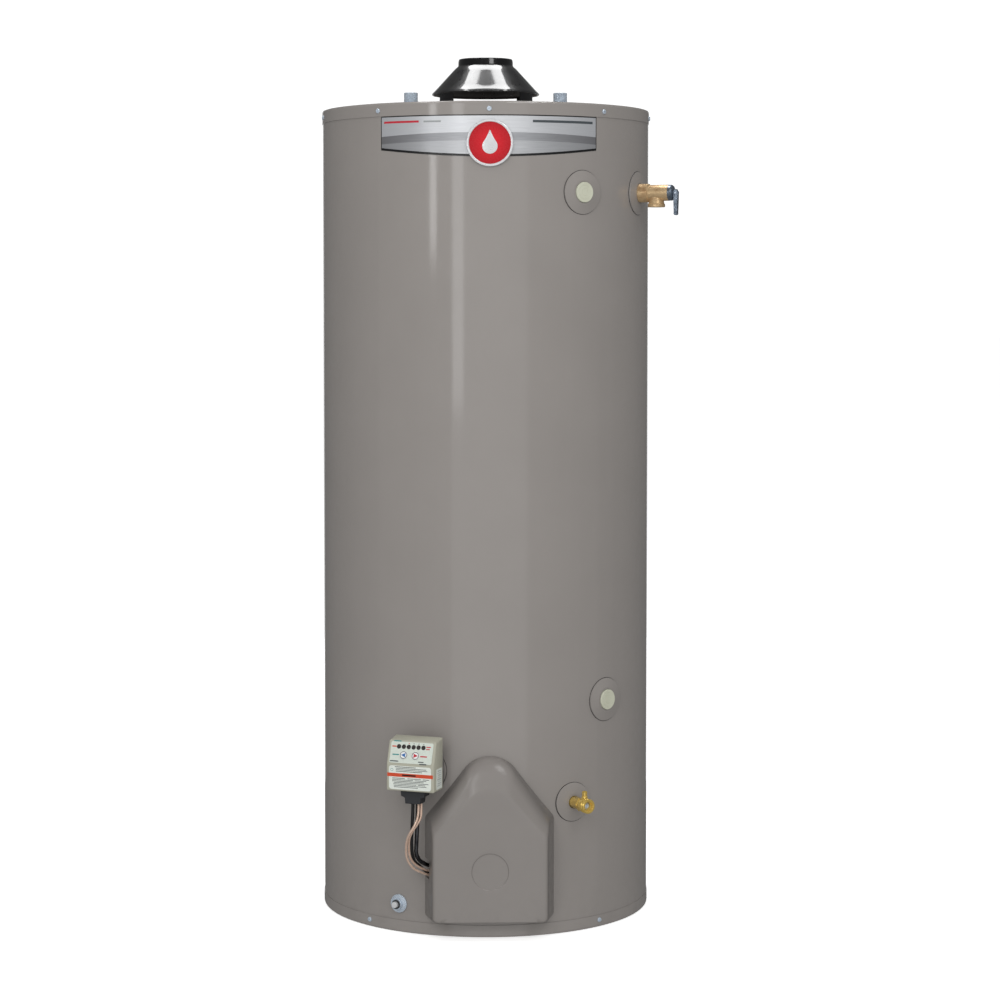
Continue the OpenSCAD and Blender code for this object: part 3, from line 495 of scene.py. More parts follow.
def smooth_route(route, steps):
    """Points on a smooth curve through the route."""
    last = len(route) - 1
    made = []
    for i in range(last):
        around_it = [route[max(0, min(last, i + k))] for k in (-1, 0, 1, 2)]
        made += [catmull(*around_it, s / steps) for s in range(steps)]
    return made + [route[last]]


def tube_rows(route, radius, sides):
    """Rings carried along a route without twisting; radius may be a function of the ring's number."""
    last = len(route) - 1
    headings = [(route[min(last, i + 1)] - route[max(0, i - 1)]).normalized() for i in range(last + 1)]
    side = headings[0].orthogonal().normalized()
    rows = []
    for i, (point, heading) in enumerate(zip(route, headings)):
        side = (side - heading * side.dot(heading)).normalized()
        other = heading.cross(side)
        size = radius(i) if callable(radius) else radius
        turns = [2 * math.pi * k / sides for k in range(sides)]
        rows.append([point + side * size * math.cos(a) + other * size * math.sin(a) for a in turns])
    return rows


def bevelled(piece, width, segments, angle):
    """Rounds a piece's sharp edges."""
    made = piece.modifiers.new("rounded_edges", "BEVEL")
    made.width = width
    made.segments = segments
    made.limit_method = "ANGLE"
    made.angle_limit = math.radians(angle)
    made.harden_normals = True


def settled(piece):
    """Applies a piece's modifiers to its mesh."""
    graph = bpy.context.evaluated_depsgraph_get()
    mesh = bpy.data.meshes.new_from_object(piece.evaluated_get(graph))
    piece.modifiers.clear()
    piece.data = mesh


def cut(piece, shape, place):
    """Takes a closed shape out of a piece."""
    mesh = closed_mesh("cutter", shape, place)
    cutter = bpy.data.objects.new("cutter", mesh)
    bpy.context.scene.collection.objects.link(cutter)
    made = piece.modifiers.new("hole", "BOOLEAN")
    made.operation = "DIFFERENCE"
    made.solver = "EXACT"
    made.object = cutter
    settled(piece)
    bpy.data.objects.remove(cutter)
    bpy.data.meshes.remove(mesh)


# ---- draft hood

def draft_hood():
    """Spun black hood: rolled rim, flared cone and a short collar with a rolled lip."""
    low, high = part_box("draft_hood")
    rim_r = high.x / MM
    rim_z, top_z = low.z / MM, high.z / MM
    collar_r = MOUNTS["vent_collar"]["dims"]["r_mm"]
    shoulder_r, shoulder_z = collar_r + 2, top_z - 14
    outside = [(rim_r - 0.7, rim_z + 0.2)]
    outside += arc((rim_r - 1.4, rim_z + 1.6), 1.4, -60, 60, 6)
    outside += [(rim_r - 1.8, rim_z + 4.6), (rim_r - 4, rim_z + 6.6)]
    outside += [
        (rim_r - 4 + (shoulder_r + 2 - rim_r + 4) * t, rim_z + 6.6 + (shoulder_z - 1.6 - rim_z - 6.6) * t)
        for t in (0.2, 0.4, 0.6, 0.8, 0.95)
    ]
    outside += [(shoulder_r, shoulder_z - 0.6), (collar_r + 1.0, shoulder_z + 0.6)]
    outside += [(collar_r + 0.3, shoulder_z + 1.6), (collar_r, shoulder_z + 3)]
    outside += [(collar_r - 0.2, top_z - 5), (collar_r - 0.9, top_z - 2)]
    outside += arc((collar_r - 2.4, top_z - 1.4), 1.4, 10, 180, 7)
    inside = [(collar_r - 3.4, top_z - 3), (collar_r - 1.6, top_z - 7)]
    inside += [(collar_r - 1.4, shoulder_z + 1), (shoulder_r - 1.6, shoulder_z - 2)]
    inside += [(rim_r - 5.4, rim_z + 5.4), (rim_r - 2.6, rim_z + 3), (rim_r - 1.9, rim_z + 0.8)]
    add_piece("hood_shell", looped(outside + inside, 128), "black_enamel", replaces=("draft_hood",))


# ---- water pipes

PIPE_PITCH = 1.814


def thread_rows(crest, depth, pitch, low, high, count=72):
    """Rows of a screw thread: the radius follows a rounded ridge that climbs one pitch a turn."""
    step = pitch / 8
    rows = []
    for i in range(int((high - low) / step) + 1):
        height = low + i * step
        ease = min(1.0, (height - low) / pitch, (high - height) / pitch)
        row = []
        for k in range(count):
            turn = k / count
            wave = 0.5 - 0.5 * math.cos(2 * math.pi * (height / pitch - turn))
            radius = crest - depth * ease * wave ** 0.7
            angle = 2 * math.pi * turn
            row.append(Vector((radius * math.cos(angle), radius * math.sin(angle), height)) * MM)
        rows.append(row)
    return rows


def nipple(node, mount):
    """Zinc plated pipe nipple with a tapered thread at its top."""
    low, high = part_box(node)
    radius = MOUNTS[mount]["dims"]["r_mm"]
    bore = 10.45
    low_z, top_z = low.z / MM, high.z / MM
    thread_low = top_z - MOUNTS[mount]["dims"]["length_mm"] - 0.5
    rows = circle_rows([(bore, low_z), (radius - 0.3, low_z), (radius - 0.3, thread_low - 1)])
    rows += thread_rows(radius, 0.75, PIPE_PITCH, thread_low, top_z - 1.2)
    rows += circle_rows([(radius - 0.9, top_z), (bore + 0.5, top_z), (bore, top_z - 0.6), (bore, low_z)])
    place = Matrix.Translation(((low.x + high.x) / 2, (low.y + high.y) / 2, 0))
    add_piece(node + "_threaded", rings(rows), "zinc_steel", place=place, replaces=(node,))


# ---- name plate and badge

def plate_strip(name, finish, lower, upper, radius, half_angle, slot="plate_silver", replaces=(), thick=0.12,
                steps=72, rows=3):
    """A curved strip of film; lower and upper give its edges' heights at an angle."""
    angles = [half_angle * (2 * i / steps - 1) for i in range(steps + 1)]

    def row(share, distance):
        return [around(a, distance, lower(a) + (upper(a) - lower(a)) * share) for a in angles]

    strip = [row(r / rows, radius) for r in range(rows + 1)]
    strip += [row(1.0, radius - thick * MM), row(0.0, radius - thick * MM)]
    points, faces = rings([*strip, strip[0]], closed=False)
    for side in (0, steps):
        faces.append(tuple(k * (steps + 1) + side for k in range(len(strip))))
    return add_piece(name, (points, faces), slot, finish, sharp=50, replaces=replaces)


def name_plate():
    """Silver foil plate in three tones with a dark outline and a black stripe on its bowed lower edge."""
    low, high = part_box("name_plate")
    face = -low.y
    half = math.asin(high.x / face)
    low_arc = 1.33
    top = high.z

    def bow(a):
        """Height of the bowed lower edge."""
        return low.z + low_arc - math.sqrt(low_arc ** 2 - (face * math.sin(a)) ** 2)

    def tone_one(a):
        return top - (30.5 + 5.5 * (a / half) ** 2) * MM

    def tone_two(a):
        return top - (44.8 + 4.4 * (a / half) ** 2) * MM

    stripe = 4.0 * MM
    rim = 1.7 * MM
    outline_r, tone_r, bar_r = (face - depth * MM for depth in (0.32, 0.18, 0.04))
    inner_half = half - rim / face
    plate_strip("plate_outline", BLACK_INK, bow, lambda a: top, outline_r, half, replaces=("name_plate",),
                thick=0.25)
    plate_strip("plate_top_tone", FINISHES["plate_silver"], tone_one, lambda a: top - rim, tone_r, inner_half)
    plate_strip("plate_middle_tone", MID_SILVER, tone_two, tone_one, tone_r, inner_half)
    plate_strip("plate_lower_tone", LOW_SILVER, lambda a: bow(a) + stripe, tone_two, tone_r, inner_half)

    def bar(name, finish, start, end, drop, tall):
        """A plain bar that stands for a line of lettering; start and end are shares of the half width."""
        centre = half * (start + end) / 2
        piece = plate_strip(name, finish, lambda a: top - (drop + tall) * MM, lambda a: top - drop * MM,
                            bar_r, half * (end - start) / 2, slot=None, thick=0.1, steps=12, rows=1)
        piece.data.transform(Matrix.Rotation(centre, 4, "Z"))

    bar("plate_bar_left", RED_INK, -0.965, -0.62, 9.0, 3.6)
    bar("plate_bar_middle", PALE_INK, -0.575, -0.42, 9.6, 3.0)
    bar("plate_bar_right", GREY_INK, 0.37, 0.955, 8.6, 4.4)


def round_badge():
    """Round badge: a polished ring, a domed red face and a plain water drop."""
    front = -badge_low.y
    radius = BADGE_R / MM
    count = 144
    plate_r = -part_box("name_plate")[0].y
    place = radial_frame((0, -1), BADGE_Z)
    ring = [(radius - 4.6, -1.2), (radius - 4.1, -0.3), (radius - 3.4, 0.0), (radius - 1.1, 0.0)]
    ring += [(radius - 0.35, -0.35), (radius, -1.1)]
    rows = [circle_row(r * MM, front + z * MM, count) for r, z in ring]
    gap = 0.1 * MM
    rows.append([
        Vector((p.x, p.y, math.sqrt(plate_r ** 2 - p.x ** 2) + gap)) for p in circle_row(BADGE_R, 0, count)
    ])
    add_piece("badge_ring", rings(rows), "badge_red", RING_SILVER, place=place, replaces=("round_badge",))

    face_r, face_edge, dome = radius - 4.2, -1.15, 0.75

    def height(x, y):
        """The domed red face's height at a point."""
        share = min(1.0, math.hypot(x, y) / face_r)
        return face_edge + dome * (1 - share * share)

    shares = (1.0, 0.9, 0.75, 0.55, 0.35, 0.15)
    rows = [circle_row(face_r * s * MM, front + height(face_r * s, 0) * MM, count) for s in shares]
    add_piece("badge_face", rings(rows, cap_last=True), "badge_red", place=place)

    drop_r = 13.5
    tip = 29.0
    centre = (0.0, -6.0)
    lean = math.degrees(math.acos(drop_r / tip))
    outline = arc(centre, drop_r, 90 + lean, 450 - lean, 40)
    tip_point = (0.0, centre[1] + tip)
    pull = Vector((0.0, centre[1] + drop_r))
    for start, end, quarters in ((outline[-1], tip_point, 4), (tip_point, outline[0], 3)):
        for share in [k / 4 for k in range(1, quarters + 1)]:
            straight = Vector(start).lerp(Vector(end), share)
            outline.append(tuple(straight.lerp(pull, 0.10 * math.sin(math.pi * share))))
    thick = 0.55
    inset = [(x * 0.93, centre[1] + (y - centre[1]) * 0.95) for x, y in outline]
    rows = [
        [Vector((x * MM, y * MM, front + (height(x, y) + rise) * MM)) for x, y in edge]
        for edge, rise in ((outline, -0.2), (outline, thick * 0.6), (inset, thick))
    ]
    add_piece("badge_drop", rings(rows, True, True, True), "badge_red", RING_SILVER, place=place, sharp=25)


# ---- burner cover

def belt(circles, arc_steps, line_steps):
    """Outline round a ring of circles (x, y, radius), counter-clockwise; its count doesn't hang on sizes."""
    count = len(circles)
    normals = []
    for i, (x0, y0, r0) in enumerate(circles):
        x1, y1, r1 = circles[(i + 1) % count]
        distance = math.hypot(x1 - x0, y1 - y0)
        heading = math.atan2(y1 - y0, x1 - x0)
        normals.append(heading - math.acos((r0 - r1) / distance))
    points = []
    for i, (x, y, r) in enumerate(circles):
        start, end = normals[i - 1], normals[i]
        while end < start - 1e-9:
            end += 2 * math.pi
        for k in range(arc_steps[i] + 1):
            a = start + (end - start) * k / arc_steps[i]
            points.append(Vector((x + r * math.cos(a), y + r * math.sin(a))))
        x1, y1, r1 = circles[(i + 1) % count]
        leave = points[-1]
        arrive = Vector((x1 + r1 * math.cos(end), y1 + r1 * math.sin(end)))
        points += [leave.lerp(arrive, k / line_steps[i]) for k in range(1, line_steps[i])]
    return points


def burner_cover():
    """Drawn steel cover: tapering flanks, a long sloping top, a flat face with a round embossed mark."""
    low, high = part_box("burner_cover")
    low_z, top_z = low.z / MM, high.z / MM
    half = (high.x - low.x) / 2 / MM
    front = -low.y / MM
    shoulder_z = 225
    seat_r = JACKET_R / MM + 0.5

    def level(inset, drop):
        """Outline of one level: corners, shoulders and the round top."""
        x = half - inset
        corner, shoulder, crown = 8, 16, 58 - inset * 0.4
        return belt(
            [
                (x - corner, low_z + corner + inset * 0.15, corner),
                (x - shoulder, shoulder_z - shoulder - drop * 0.5, shoulder),
                (0, top_z - crown - drop, crown),
                (-x + shoulder, shoulder_z - shoulder - drop * 0.5, shoulder),
                (-x + corner, low_z + corner + inset * 0.15, corner),
            ],
            (5, 7, 22, 7, 5), (14, 10, 10, 14, 22),
        )

    # inset, drop of the top and distance from the tank's axis
    levels = [(0, 0, 262), (0, 0, 283), (3.4, 2.4, 300), (7.8, 6.4, 318), (10.2, 24, 329.3)]
    levels += [(12.6, 48, 336.6), (15.6, 57, 339.1), (19.5, 64, front)]
    shapes = [[Vector((p.x, p.y, depth)) for p in level(inset, drop)] for inset, drop, depth in levels]
    count = len(shapes[0])

    def profile(k, t):
        """A point of the k-th profile curve; t runs from the back to the front."""
        last = len(shapes) - 1
        i = min(last - 1, int(t))
        near = [shapes[max(0, min(last, i + n))][k] for n in (-1, 0, 1, 2)]
        return catmull(*near, t - i)

    def seat(k):
        """Where the k-th profile meets the jacket."""
        start, end = 0.0, 3.0
        for _ in range(30):
            t = (start + end) / 2
            p = profile(k, t)
            reach = math.sqrt(max(0.0, seat_r ** 2 - p.x ** 2))
            start, end = (t, end) if p.z < reach else (start, t)
        return end

    steps = 26
    rows = []
    starts = [seat(k) for k in range(count)]
    for s in range(steps + 1):
        share = (s / steps) ** 0.85
        rows.append([profile(k, starts[k] + (len(shapes) - 1 - starts[k]) * share) for k in range(count)])
    mark_centre = Vector((0, 126))
    mark_r = 32.5
    edge = rows[-1]
    mark = [(Vector((p.x, p.y)) - mark_centre).normalized() for p in edge]
    for share in (0.12, 0.35, 0.65, 0.9):
        rows.append([
            Vector((
                p.x + (mark_centre.x + m.x * (mark_r + 1.4) - p.x) * share,
                p.y + (mark_centre.y + m.y * (mark_r + 1.4) - p.y) * share,
                front,
            ))
            for p, m in zip(edge, mark)
        ])
    for radius, depth in ((mark_r + 1.2, 0), (mark_r + 0.7, 0.1), (mark_r, 0.9), (mark_r - 0.6, 1.25),
                          (mark_r - 1.4, 1.3), (mark_r - 10, 1.3), (6, 1.3)):
        rows.append([
            Vector((mark_centre.x + m.x * radius, mark_centre.y + m.y * radius, front - depth)) for m in mark
        ])
    rows = [[p * MM for p in row] for row in rows]
    to_front = Matrix.Rotation(math.radians(90), 4, "X")
    cover = add_piece("burner_cover_pressing", rings(rows, cap_last=True), "cover_paint", None,
                      "burner_cover", to_front, 40, ("burner_cover",))
    skin = cover.modifiers.new("sheet", "SOLIDIFY")
    skin.thickness = 1.2 * MM
    skin.offset = -1
    settled(cover)
    notch = prism(rounded_box_outline(50, 34, 9), -60, 0)
    cut(cover, notch, Matrix.Translation((-105 * MM, -316 * MM, 125 * MM)) @ to_front)
    dress(cover, "cover_paint", None, "burner_cover", 40)


# ---- gas control

FACE_OUT = -Vector(JOINTS["cooler_press"]["axis"]).normalized()
CONTROL_OUT = Vector((FACE_OUT.x, FACE_OUT.y, 0)).normalized()
FACE_SIDE = UP.cross(CONTROL_OUT)
FACE_UP = FACE_OUT.cross(FACE_SIDE)
BUTTON_RISE = 1.7
BUTTONS = {"cooler_button": -11.25, "hotter_button": 11.25}
LAMP_Y = 15.0
LAMP_XS = [1.25 + (i - 2.5) * 9.3 for i in range(6)]
INK = 0.06


def face_frame():
    """Frame of the control's sloping face: x across it, y up it, origin midway between the buttons."""
    x = sum(middle(node, FACE_SIDE) for node in BUTTONS) / 2
    y = sum(middle(node, FACE_UP) for node in BUTTONS) / 2
    z = span("cooler_button", FACE_OUT)[1] - BUTTON_RISE * MM
    return axes_frame(FACE_SIDE, FACE_UP, FACE_OUT, FACE_SIDE * x + FACE_UP * y + FACE_OUT * z)


def print_bar(name, ink, place, x, y, width, height, base, slot="panel_film"):
    """A short bar of ink with round corners on a flat face."""
    outline = [(x + a, y + b) for a, b in rounded_box_outline(width, height, min(width, height) * 0.3, 3)]
    add_piece(name, prism(outline, base, base + INK), slot, ink, place=place)


def print_ring(name, ink, place, x, y, outer, inner, base, body="heater", slot="panel_film"):
    shape = looped([(inner, base), (outer, base), (outer, base + INK), (inner, base + INK)], 48)
    add_piece(name, shape, slot, ink, body, place @ Matrix.Translation((x * MM, y * MM, 0)))


def control_face():
    """Print on the sloping face: bars in place of words, arrows and rings on the buttons."""
    place = face_frame()
    film = 0.66
    bars = [
        ("top_left", TEAL_INK, -25.5, 24.6, 14, 2.0), ("lamp_left", ORANGE_INK, -30.8, 15.0, 8.4, 2.2),
        ("lamp_right_a", RED_INK, 34.0, 16.6, 8.6, 1.9), ("lamp_right_b", RED_INK, 33.4, 12.6, 7.0, 1.9),
        ("cooler_word", TEAL_INK, -26.4, 0.4, 12.5, 2.2), ("hotter_word", RED_INK, 26.6, -0.6, 13, 2.2),
        ("low_left", GREY_INK, -28.0, -11.2, 16, 1.9), ("low_right_a", GREY_INK, 22.6, -10.6, 10.4, 1.8),
        ("low_right_b", GREY_INK, 26.8, -14.2, 13.6, 1.8),
    ]
    for name, ink, x, y, width, height in bars:
        print_bar("face_" + name, ink, place, x, y, width, height, film)
    for i, x in enumerate(LAMP_XS):
        if i > 1:
            print_bar(f"face_tick_{i}", GREY_INK if i > 2 else ORANGE_INK, place, x, 21.2, 1.6, 1.8, film)
    for i, x in enumerate(LAMP_XS):
        print_ring(f"lamp_ring_{i}", BLACK_INK, place, x, LAMP_Y, 4.1, 3.45, film)
    for node, x in BUTTONS.items():
        side, ink = (-1, BLUE_INK) if node == "cooler_button" else (1, RED_INK)
        print_ring(node + "_ring", BLACK_INK, place, x, 0, 6.5, 5.6, BUTTON_RISE, node, "button_plastic")
        arrow = [(x + side * 4.8, 0), (x - side * 4.0, 4.0), (x - side * 3.0, 0), (x - side * 4.0, -4.0)]
        shape = prism(arrow, BUTTON_RISE, BUTTON_RISE + 0.08)
        add_piece(node + "_arrow", shape, "button_plastic", ink, node, place)


def control_frame():
    """Frame of the control: x across, y up from its lower edge, z outwards from the tank's axis."""
    return radial_frame(FACE_OUT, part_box("control_housing")[0].z)


def control_measures():
    """The control's back and face as distances from the tank's axis, its width and its height."""
    low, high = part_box("control_housing")
    back, face = span("control_housing", CONTROL_OUT)
    left, right = span("control_housing", FACE_SIDE)
    return back / MM, face / MM, (right - left) / MM, (high.z - low.z) / MM


def control_housing():
    """Moulded housing: rounded edges, a bend at the break and holes behind lamps and buttons."""
    back, face, width, height = control_measures()
    break_height = 48.0
    slope = 13.45
    top = height - 5
    outline = [(0, back), (height, back), (top, face - slope), (break_height, face), (0, face)]
    rows = [[Vector((x, y, z)) * MM for y, z in outline] for x in (-width / 2, width / 2)]
    housing = add_piece("housing_shell", rings(rows, True, True, True), "housing_plastic",
                        place=control_frame(), replaces=("control_housing",))
    bevelled(housing, 2.6 * MM, 4, 12)
    settled(housing)
    above = 6
    holes = [(x, 0, 7.1, 6, 48) for x in BUTTONS.values()] + [(x, LAMP_Y, 3.5, 12, 32) for x in LAMP_XS]
    for x, y, radius, depth, count in holes:
        hole = rings(circle_rows([(radius, -depth), (radius, above)], count), True, True, True)
        cut(housing, hole, face_frame() @ Matrix.Translation((x * MM, y * MM, 0)))
    dress(housing, "housing_plastic", sharp=28)


def control_labels():
    """Lines on the instruction plates, with an orange band right across the housing."""
    back, face, width, _ = control_measures()
    place = control_frame() @ Matrix.Translation((0, 0, face * MM))
    film = 0.46
    band_y = 28.6
    outline = [(a, band_y + b) for a, b in rounded_box_outline(width - 3.4, 6.4, 0.5, 2)]
    add_piece("label_band", prism(outline, -0.2, film + INK), "label_film", ORANGE_INK, place=place)
    print_bar("label_band_mark", BLACK_INK, place, -2, band_y, 26, 2.6, film + 0.08, "label_film")
    print_ring("label_seal", TEAL_INK, place, -34.5, 37.4, 2.6, 2.0, film, slot="label_film")
    lines = [(-9, 43.0, 40), (2, 40.4, 58), (3, 37.8, 60), (-2, 35.2, 50)]
    lines += [(-22, 22.8, 24), (8, 22.8, 26), (30, 22.8, 12), (-14, 20.2, 40), (20, 20.2, 22)]
    lines += [(-4, 17.6, 60), (2, 15.0, 66), (-10, 12.4, 44), (22, 12.4, 14), (0, 9.8, 62), (-8, 7.2, 46)]
    for i, (x, y, long) in enumerate(lines):
        ink = GREY_INK if i % 3 else BLACK_INK
        print_bar(f"label_line_{i}", ink, place, x, y, long, 1.0, film, "label_film")
    side_place = control_frame() @ Matrix.Translation(((width / 2 + film) * MM, 0, (back + 20) * MM))
    side_place = side_place @ Matrix.Rotation(math.radians(90), 4, "Y")
    for i in range(8):
        ink = GREY_INK if i % 2 else PALE_INK
        x, y, long = i % 3 - 1, 10 + i * 3.7, 18 - 3 * (i % 3)
        print_bar(f"side_line_{i}", ink, side_place, x, y, long, 0.8, 0, "label_film")


def connector_boot():
    """Dark boot: a chamfered block with a narrower neck that holds the tube and the leads."""
    low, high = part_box("connector_boot")
    near, far = span("connector_boot", CONTROL_OUT)
    left, right = span("connector_boot", FACE_SIDE)
    wide = (right - left) / MM
    tall = (high.z - low.z) / MM
    neck = 14
    half = [(neck, 0), (neck + 1, tall - 14.4), (wide / 2 - 7, tall - 13), (wide / 2 - 1, tall - 10.8),
            (wide / 2, tall)]
    outline = [(-x, y) for x, y in reversed(half)] + half
    place = radial_frame(FACE_OUT, low.z) @ Matrix.Translation(((left + right) / 2, 0, 0))
    boot = add_piece("boot_moulding", prism(outline, near / MM, far / MM), "dark_plastic", place=place,
                     replaces=("connector_boot",))
    bevelled(boot, 1.4 * MM, 3, 12)


# ---- tube and leads

ROUTES = {
    "burner_feed_tube": (3.2, "feed_aluminium", [
        (-128, -325, 249), (-128, -325, 238), (-129, -325, 215), (-130, -324, 190), (-131, -322, 170),
        (-131, -320, 156), (-126, -317, 144), (-117, -311, 136), (-108, -304, 131), (-94, -298, 127),
        (-74, -292, 121), (-50, -286, 113), (-24, -277, 103), (-8, -266, 98), (0, -255, 96), (0, -236, 96),
    ]),
    "pilot_tube": (2.1, "copper_sheath", [
        (-122, -333, 249), (-122, -333, 238), (-123, -334, 224), (-129, -336, 212), (-137, -336, 200),
        (-143, -333, 186), (-144, -329, 170), (-143, -325, 154), (-138, -320, 142), (-130, -315, 133),
        (-119, -309, 126), (-108, -303, 121), (-92, -297, 117), (-72, -288, 111), (-50, -276, 103),
        (-38, -264, 98), (-36, -254, 96), (-36, -240, 96), (-33, -205, 101), (-27, -160, 117),
    ]),
    "thermopile_lead": (2.1, "copper_sheath", [
        (-127, -336, 249), (-127, -336, 238), (-129, -339, 222), (-135, -342, 209), (-142, -341, 197),
        (-147, -337, 184), (-149, -332, 168), (-148, -328, 151), (-142, -324, 137), (-133, -319, 127),
        (-121, -313, 120), (-108, -305, 114), (-94, -297, 110), (-80, -286, 105), (-64, -272, 99),
        (-55, -261, 96), (-54, -251, 96), (-54, -236, 96), (-48, -205, 101), (-37, -160, 117),
    ]),
    "igniter_lead": (2.4, "black_sleeve", [
        (-137, -329, 249), (-137, -329, 238), (-138, -328, 215), (-139, -326, 190), (-139, -323, 170),
        (-138, -320, 155), (-134, -314, 141), (-126, -306, 131), (-116, -299, 121), (-104, -297, 110),
        (-94, -296, 104), (-84, -290, 100), (-76, -274, 97), (-74, -258, 96), (-74, -234, 96),
        (-64, -205, 101), (-47, -160, 117),
    ]),
}


def tubes_and_leads():
    """Smooth round tube and leads along the CAD's routes; two are a little fuller outside the cover."""
    steps = 14
    shown, fade = 9 * steps, 2 * steps
    for node, (radius, slot, route) in ROUTES.items():
        swell = 0.55 if node in ("burner_feed_tube", "igniter_lead") else 0.0

        def size(i):
            return (radius + swell * max(0.0, min(1.0, (shown - i) / fade))) * MM

        path = smooth_route([Vector(p) * MM for p in route], steps)
        shape = rings(tube_rows(path, size, 20), True, True, True)
        add_piece(node + "_smooth", shape, slot, sharp=60, replaces=(node,))


# ---- drain valve

def drain_valve():
    """Turned drain valve: threaded outlet, hexagon, a plain neck and the boss of the stem."""
    node = "drain_valve_body"
    axis = Vector(MOUNTS["drain_outlet"]["axis"])
    centre_z = MOUNTS["drain_outlet"]["pos_m"][2]
    inner, outer = (reach / MM for reach in span(node, axis))
    crest = MOUNTS["drain_outlet"]["dims"]["r_mm"]
    bore = 6.3
    neck = 11
    thread_low = outer - 9
    rows = circle_rows([(bore, inner), (neck, inner), (neck, thread_low - 12.6), (12.4, thread_low - 10),
                        (12.4, thread_low - 0.8), (11.6, thread_low - 0.4)])
    rows += thread_rows(crest, 0.9, 2.2, thread_low, outer - 1.6)
    rows += circle_rows([(crest - 0.9, outer - 0.5), (crest - 1.5, outer), (9.2, outer), (8.6, outer - 0.3),
                         (8.2, outer - 1.2), (bore + 0.3, outer - 5), (bore, outer - 6), (bore, inner)])
    place = radial_frame(axis, centre_z)
    add_piece("drain_turning", rings(rows), "drain_brass", place=place, replaces=(node,))

    joint = Vector(JOINTS["drain_turn"]["pos_m"])
    top = (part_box(node)[1].z - centre_z) / MM
    boss = [(3.45, 9.5), (5.3, 9.5), (5.3, top - 6.2), (5.1, top - 5.8), (5.1, top - 5.2), (5.4, top - 4.8)]
    boss += [(5.4, top - 1), (4.9, top - 0.2), (4.2, top), (3.45, top)]
    at = Matrix.Translation((joint.x, joint.y, centre_z))
    add_piece("drain_boss", looped(boss, 48), "drain_brass", place=at)
    hexagon = prism(arc((0, 0), 12.9, 0, 300, 5), thread_low - 17.4, thread_low - 13.4)
    flats = add_piece("drain_flats", hexagon, "drain_brass", place=place)
    bevelled(flats, 0.6 * MM, 2, 25)


# ---- escutcheons

def shells(mesh):
    """A mesh's separate shells, each as its points, from the lowest upwards."""
    whole = bmesh.new()
    whole.from_mesh(mesh)
    bmesh.ops.remove_doubles(whole, verts=whole.verts, dist=1e-6)
    waiting = dict.fromkeys(whole.verts)
    found = []
    while waiting:
        shell = [waiting.popitem()[0]]
        for vert in shell:
            for edge in vert.link_edges:
                other = edge.other_vert(vert)
                if other in waiting:
                    del waiting[other]
                    shell.append(other)
        found.append([v.co.copy() for v in shell])
    whole.free()
    return sorted(found, key=lambda points: min(p.z for p in points))


def escutcheon_shadow_rings():
    """A thin dark ring of painted shadow where each escutcheon's edge meets the jacket."""
    for number, spots in enumerate(shells(NODES["escutcheons"].data)):
        low = min(p.z for p in spots)
        high = max(p.z for p in spots)
        height, shadow_ring_r = (low + high) / 2, (high - low) / 2 + 0.35 * MM
        out = Vector((sum(p.x for p in spots), sum(p.y for p in spots), 0)).normalized()
        side = UP.cross(out)
        path = []
        for k in range(72):
            a = 2 * math.pi * k / 72
            turn = math.asin(shadow_ring_r * math.cos(a) / JACKET_R)
            away = out * math.cos(turn) + side * math.sin(turn)
            path.append(away * (JACKET_R + 0.25 * MM) + UP * (height + shadow_ring_r * math.sin(a)))
        rows = tube_rows(path, 0.45 * MM, 8)
        shape = rings([*rows, rows[0]])
        # painted shadow: a dark ring put where the joint round the escutcheon lies in shade
        add_piece(f"escutcheon_shadow_ring_{number}", shape, "jacket_paint", FINISHES["black_sleeve"], sharp=60)


# ---- relief valve

def relief_outlet_thread():
    """Thread inside the relief valve's outlet."""
    mount = MOUNTS["relief_outlet"]
    radius = mount["dims"]["r_mm"]
    half = mount["dims"]["length_mm"] / 2
    count = 64
    rows = thread_rows(radius - 0.05, 0.9, PIPE_PITCH, -half, half - 0.6, count)
    rows += circle_rows([(radius + 0.6, half - 0.6), (radius + 0.6, -half)], count)
    place = Matrix.Translation(mount["pos_m"])
    add_piece("relief_outlet_thread", rings([*rows, rows[0]]), "relief_brass", place=place)


# ---- floor, lights and camera

def floor():
    """A wide, plain, pale floor."""
    rows = [circle_row(radius, -0.0005, 96) for radius in (0.5, 2, 6, 16, 60)]
    points, faces = rings(rows, True, True, False)
    mesh = bpy.data.meshes.new("studio_floor")
    mesh.from_pydata([tuple(p) for p in points], [], faces)
    made = bpy.data.objects.new("studio_floor", mesh)
    bpy.context.scene.collection.objects.link(made)
    m = Nodes("floor_paint")
    cloud = m.ranged(m.noise(1.5, 3), 0.3, 0.7)
    tone = m.mixed(cloud, (0.86, 0.86, 0.86, 1), (0.89, 0.89, 0.89, 1))
    m.set(Roughness=0.9, Specular_IOR_Level=0.1, Emission_Color=(1, 1, 1, 1), Emission_Strength=0.55)
    mesh.materials.append(m.finish(tone))
    made.visible_glossy = False
    made.visible_diffuse = False


def area_light(name, place, target, width, height, radiance, glossy=True, diffuse=True):
    """A soft rectangular light; radiance is its brightness as the paint sees it."""
    light = bpy.data.lights.new(name, "AREA")
    light.shape = "RECTANGLE"
    light.size = width
    light.size_y = height
    light.energy = radiance * math.pi * width * height
    made = bpy.data.objects.new(name, light)
    made.location = place
    made.rotation_euler = (Vector(target) - Vector(place)).to_track_quat("-Z", "Y").to_euler()
    made.visible_camera = False
    made.visible_glossy = glossy
    made.visible_diffuse = diffuse
    bpy.context.scene.collection.objects.link(made)


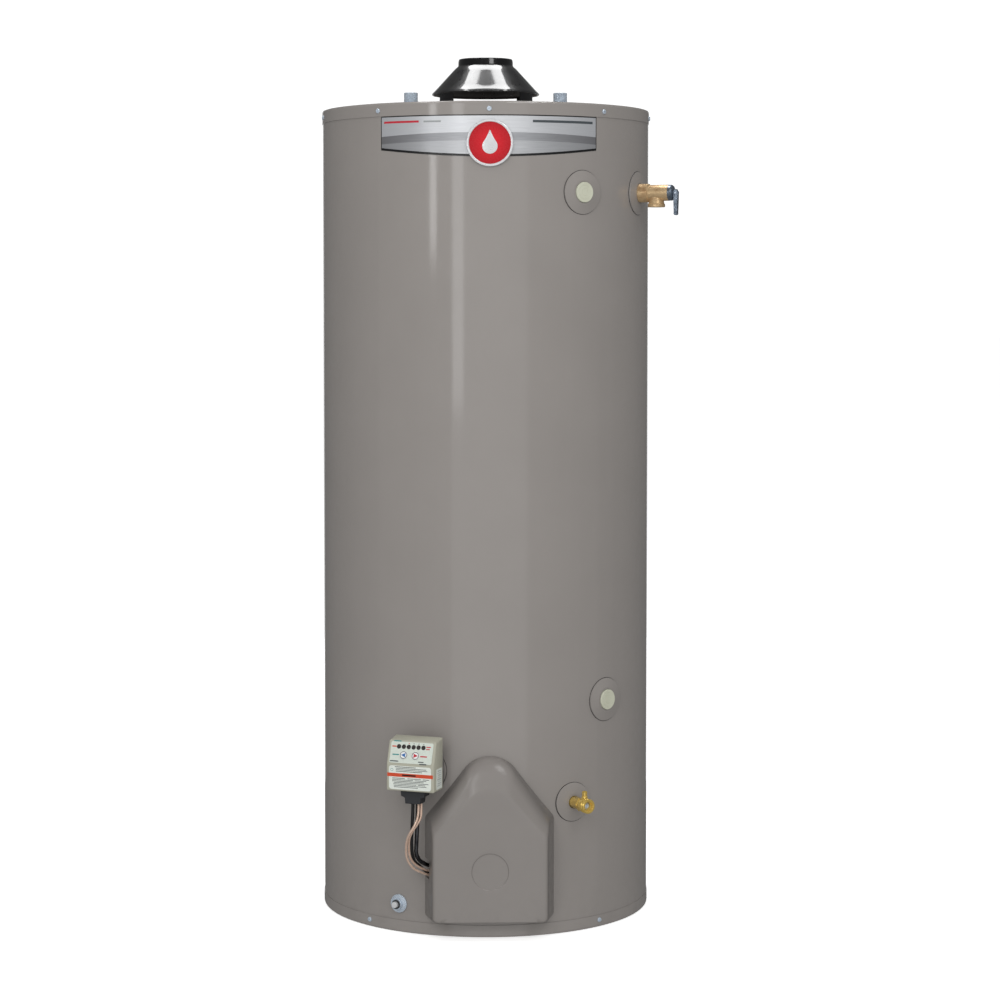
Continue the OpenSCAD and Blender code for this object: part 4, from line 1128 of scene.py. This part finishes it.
def studio():
    """White surroundings, a wide soft front, two narrow strips and a softbox overhead."""
    world = bpy.data.worlds.new("studio")
    bpy.context.scene.world = world
    world.use_nodes = True
    tree = world.node_tree
    background = tree.nodes["Background"]
    path = tree.nodes.new("ShaderNodeLightPath")
    seen = tree.nodes.new("ShaderNodeMix")
    seen.inputs[2].default_value = 0.56
    seen.inputs[3].default_value = 0.12
    tree.links.new(path.outputs["Is Glossy Ray"], seen.inputs[0])
    shown = tree.nodes.new("ShaderNodeMix")
    shown.inputs[3].default_value = 1.1
    tree.links.new(path.outputs["Is Camera Ray"], shown.inputs[0])
    tree.links.new(seen.outputs[0], shown.inputs[2])
    tree.links.new(shown.outputs[0], background.inputs["Strength"])
    background.inputs["Color"].default_value = (1, 1, 1, 1)

    def facing(angle, distance, height):
        return around(math.radians(angle), distance, height)

    waist = (0, 0, 0.8)
    area_light("front_softbox", facing(1.2, 3.6, 0.3), (0, 0, 0.3), 3.4, 4.2, 0.55)
    area_light("left_strip", facing(-36.2, 3.2, 1.66), (0, 0, 1.3), 0.26, 0.8, 5.5)
    area_light("near_strip", facing(-19.5, 3.3, 1.5), (0, 0, 1.2), 0.42, 1.4, 2.7)
    area_light("front_fill", facing(-12, 4.2, 3.2), waist, 2.4, 2.0, 2.4, glossy=False)
    area_light("cover_softbox", facing(24, 3.4, 3.0), (0, 0, 0.2), 1.1, 0.9, 5.0)
    area_light("overhead_softbox", (0, 0.55, 3.6), (0, 0.2, 0), 1.9, 1.1, 11.0, diffuse=False)
    area_light("overhead_fill", (0, 0, 4.2), (0, 0, 0), 4.0, 4.0, 0.9, glossy=False)
    area_light("back_softbox", facing(180, 3.6, 1.0), waist, 2.4, 3.0, 0.7)


def camera():
    """Long lens at chest height, a little left of straight on."""
    distance, height = 4.857, 1.159
    azimuth, tilt = math.radians(-1.4), math.radians(2.924)
    data = bpy.data.cameras.new("camera")
    data.lens = 92.75
    data.sensor_width = 36
    data.shift_x = 0.0144
    data.shift_y = -0.08
    made = bpy.data.objects.new("camera", data)
    made.location = around(azimuth, distance, height)
    made.rotation_euler = (math.pi / 2 - tilt, 0, azimuth)
    bpy.context.scene.collection.objects.link(made)
    bpy.context.scene.camera = made
    bpy.context.scene.view_settings.view_transform = "Standard"


draft_hood()
nipple("cold_nipple", "cold_inlet")
nipple("hot_nipple", "hot_outlet")
name_plate()
round_badge()
burner_cover()
control_housing()
control_face()
control_labels()
connector_boot()
tubes_and_leads()
drain_valve()
escutcheon_shadow_rings()
relief_outlet_thread()
floor()
studio()
camera()
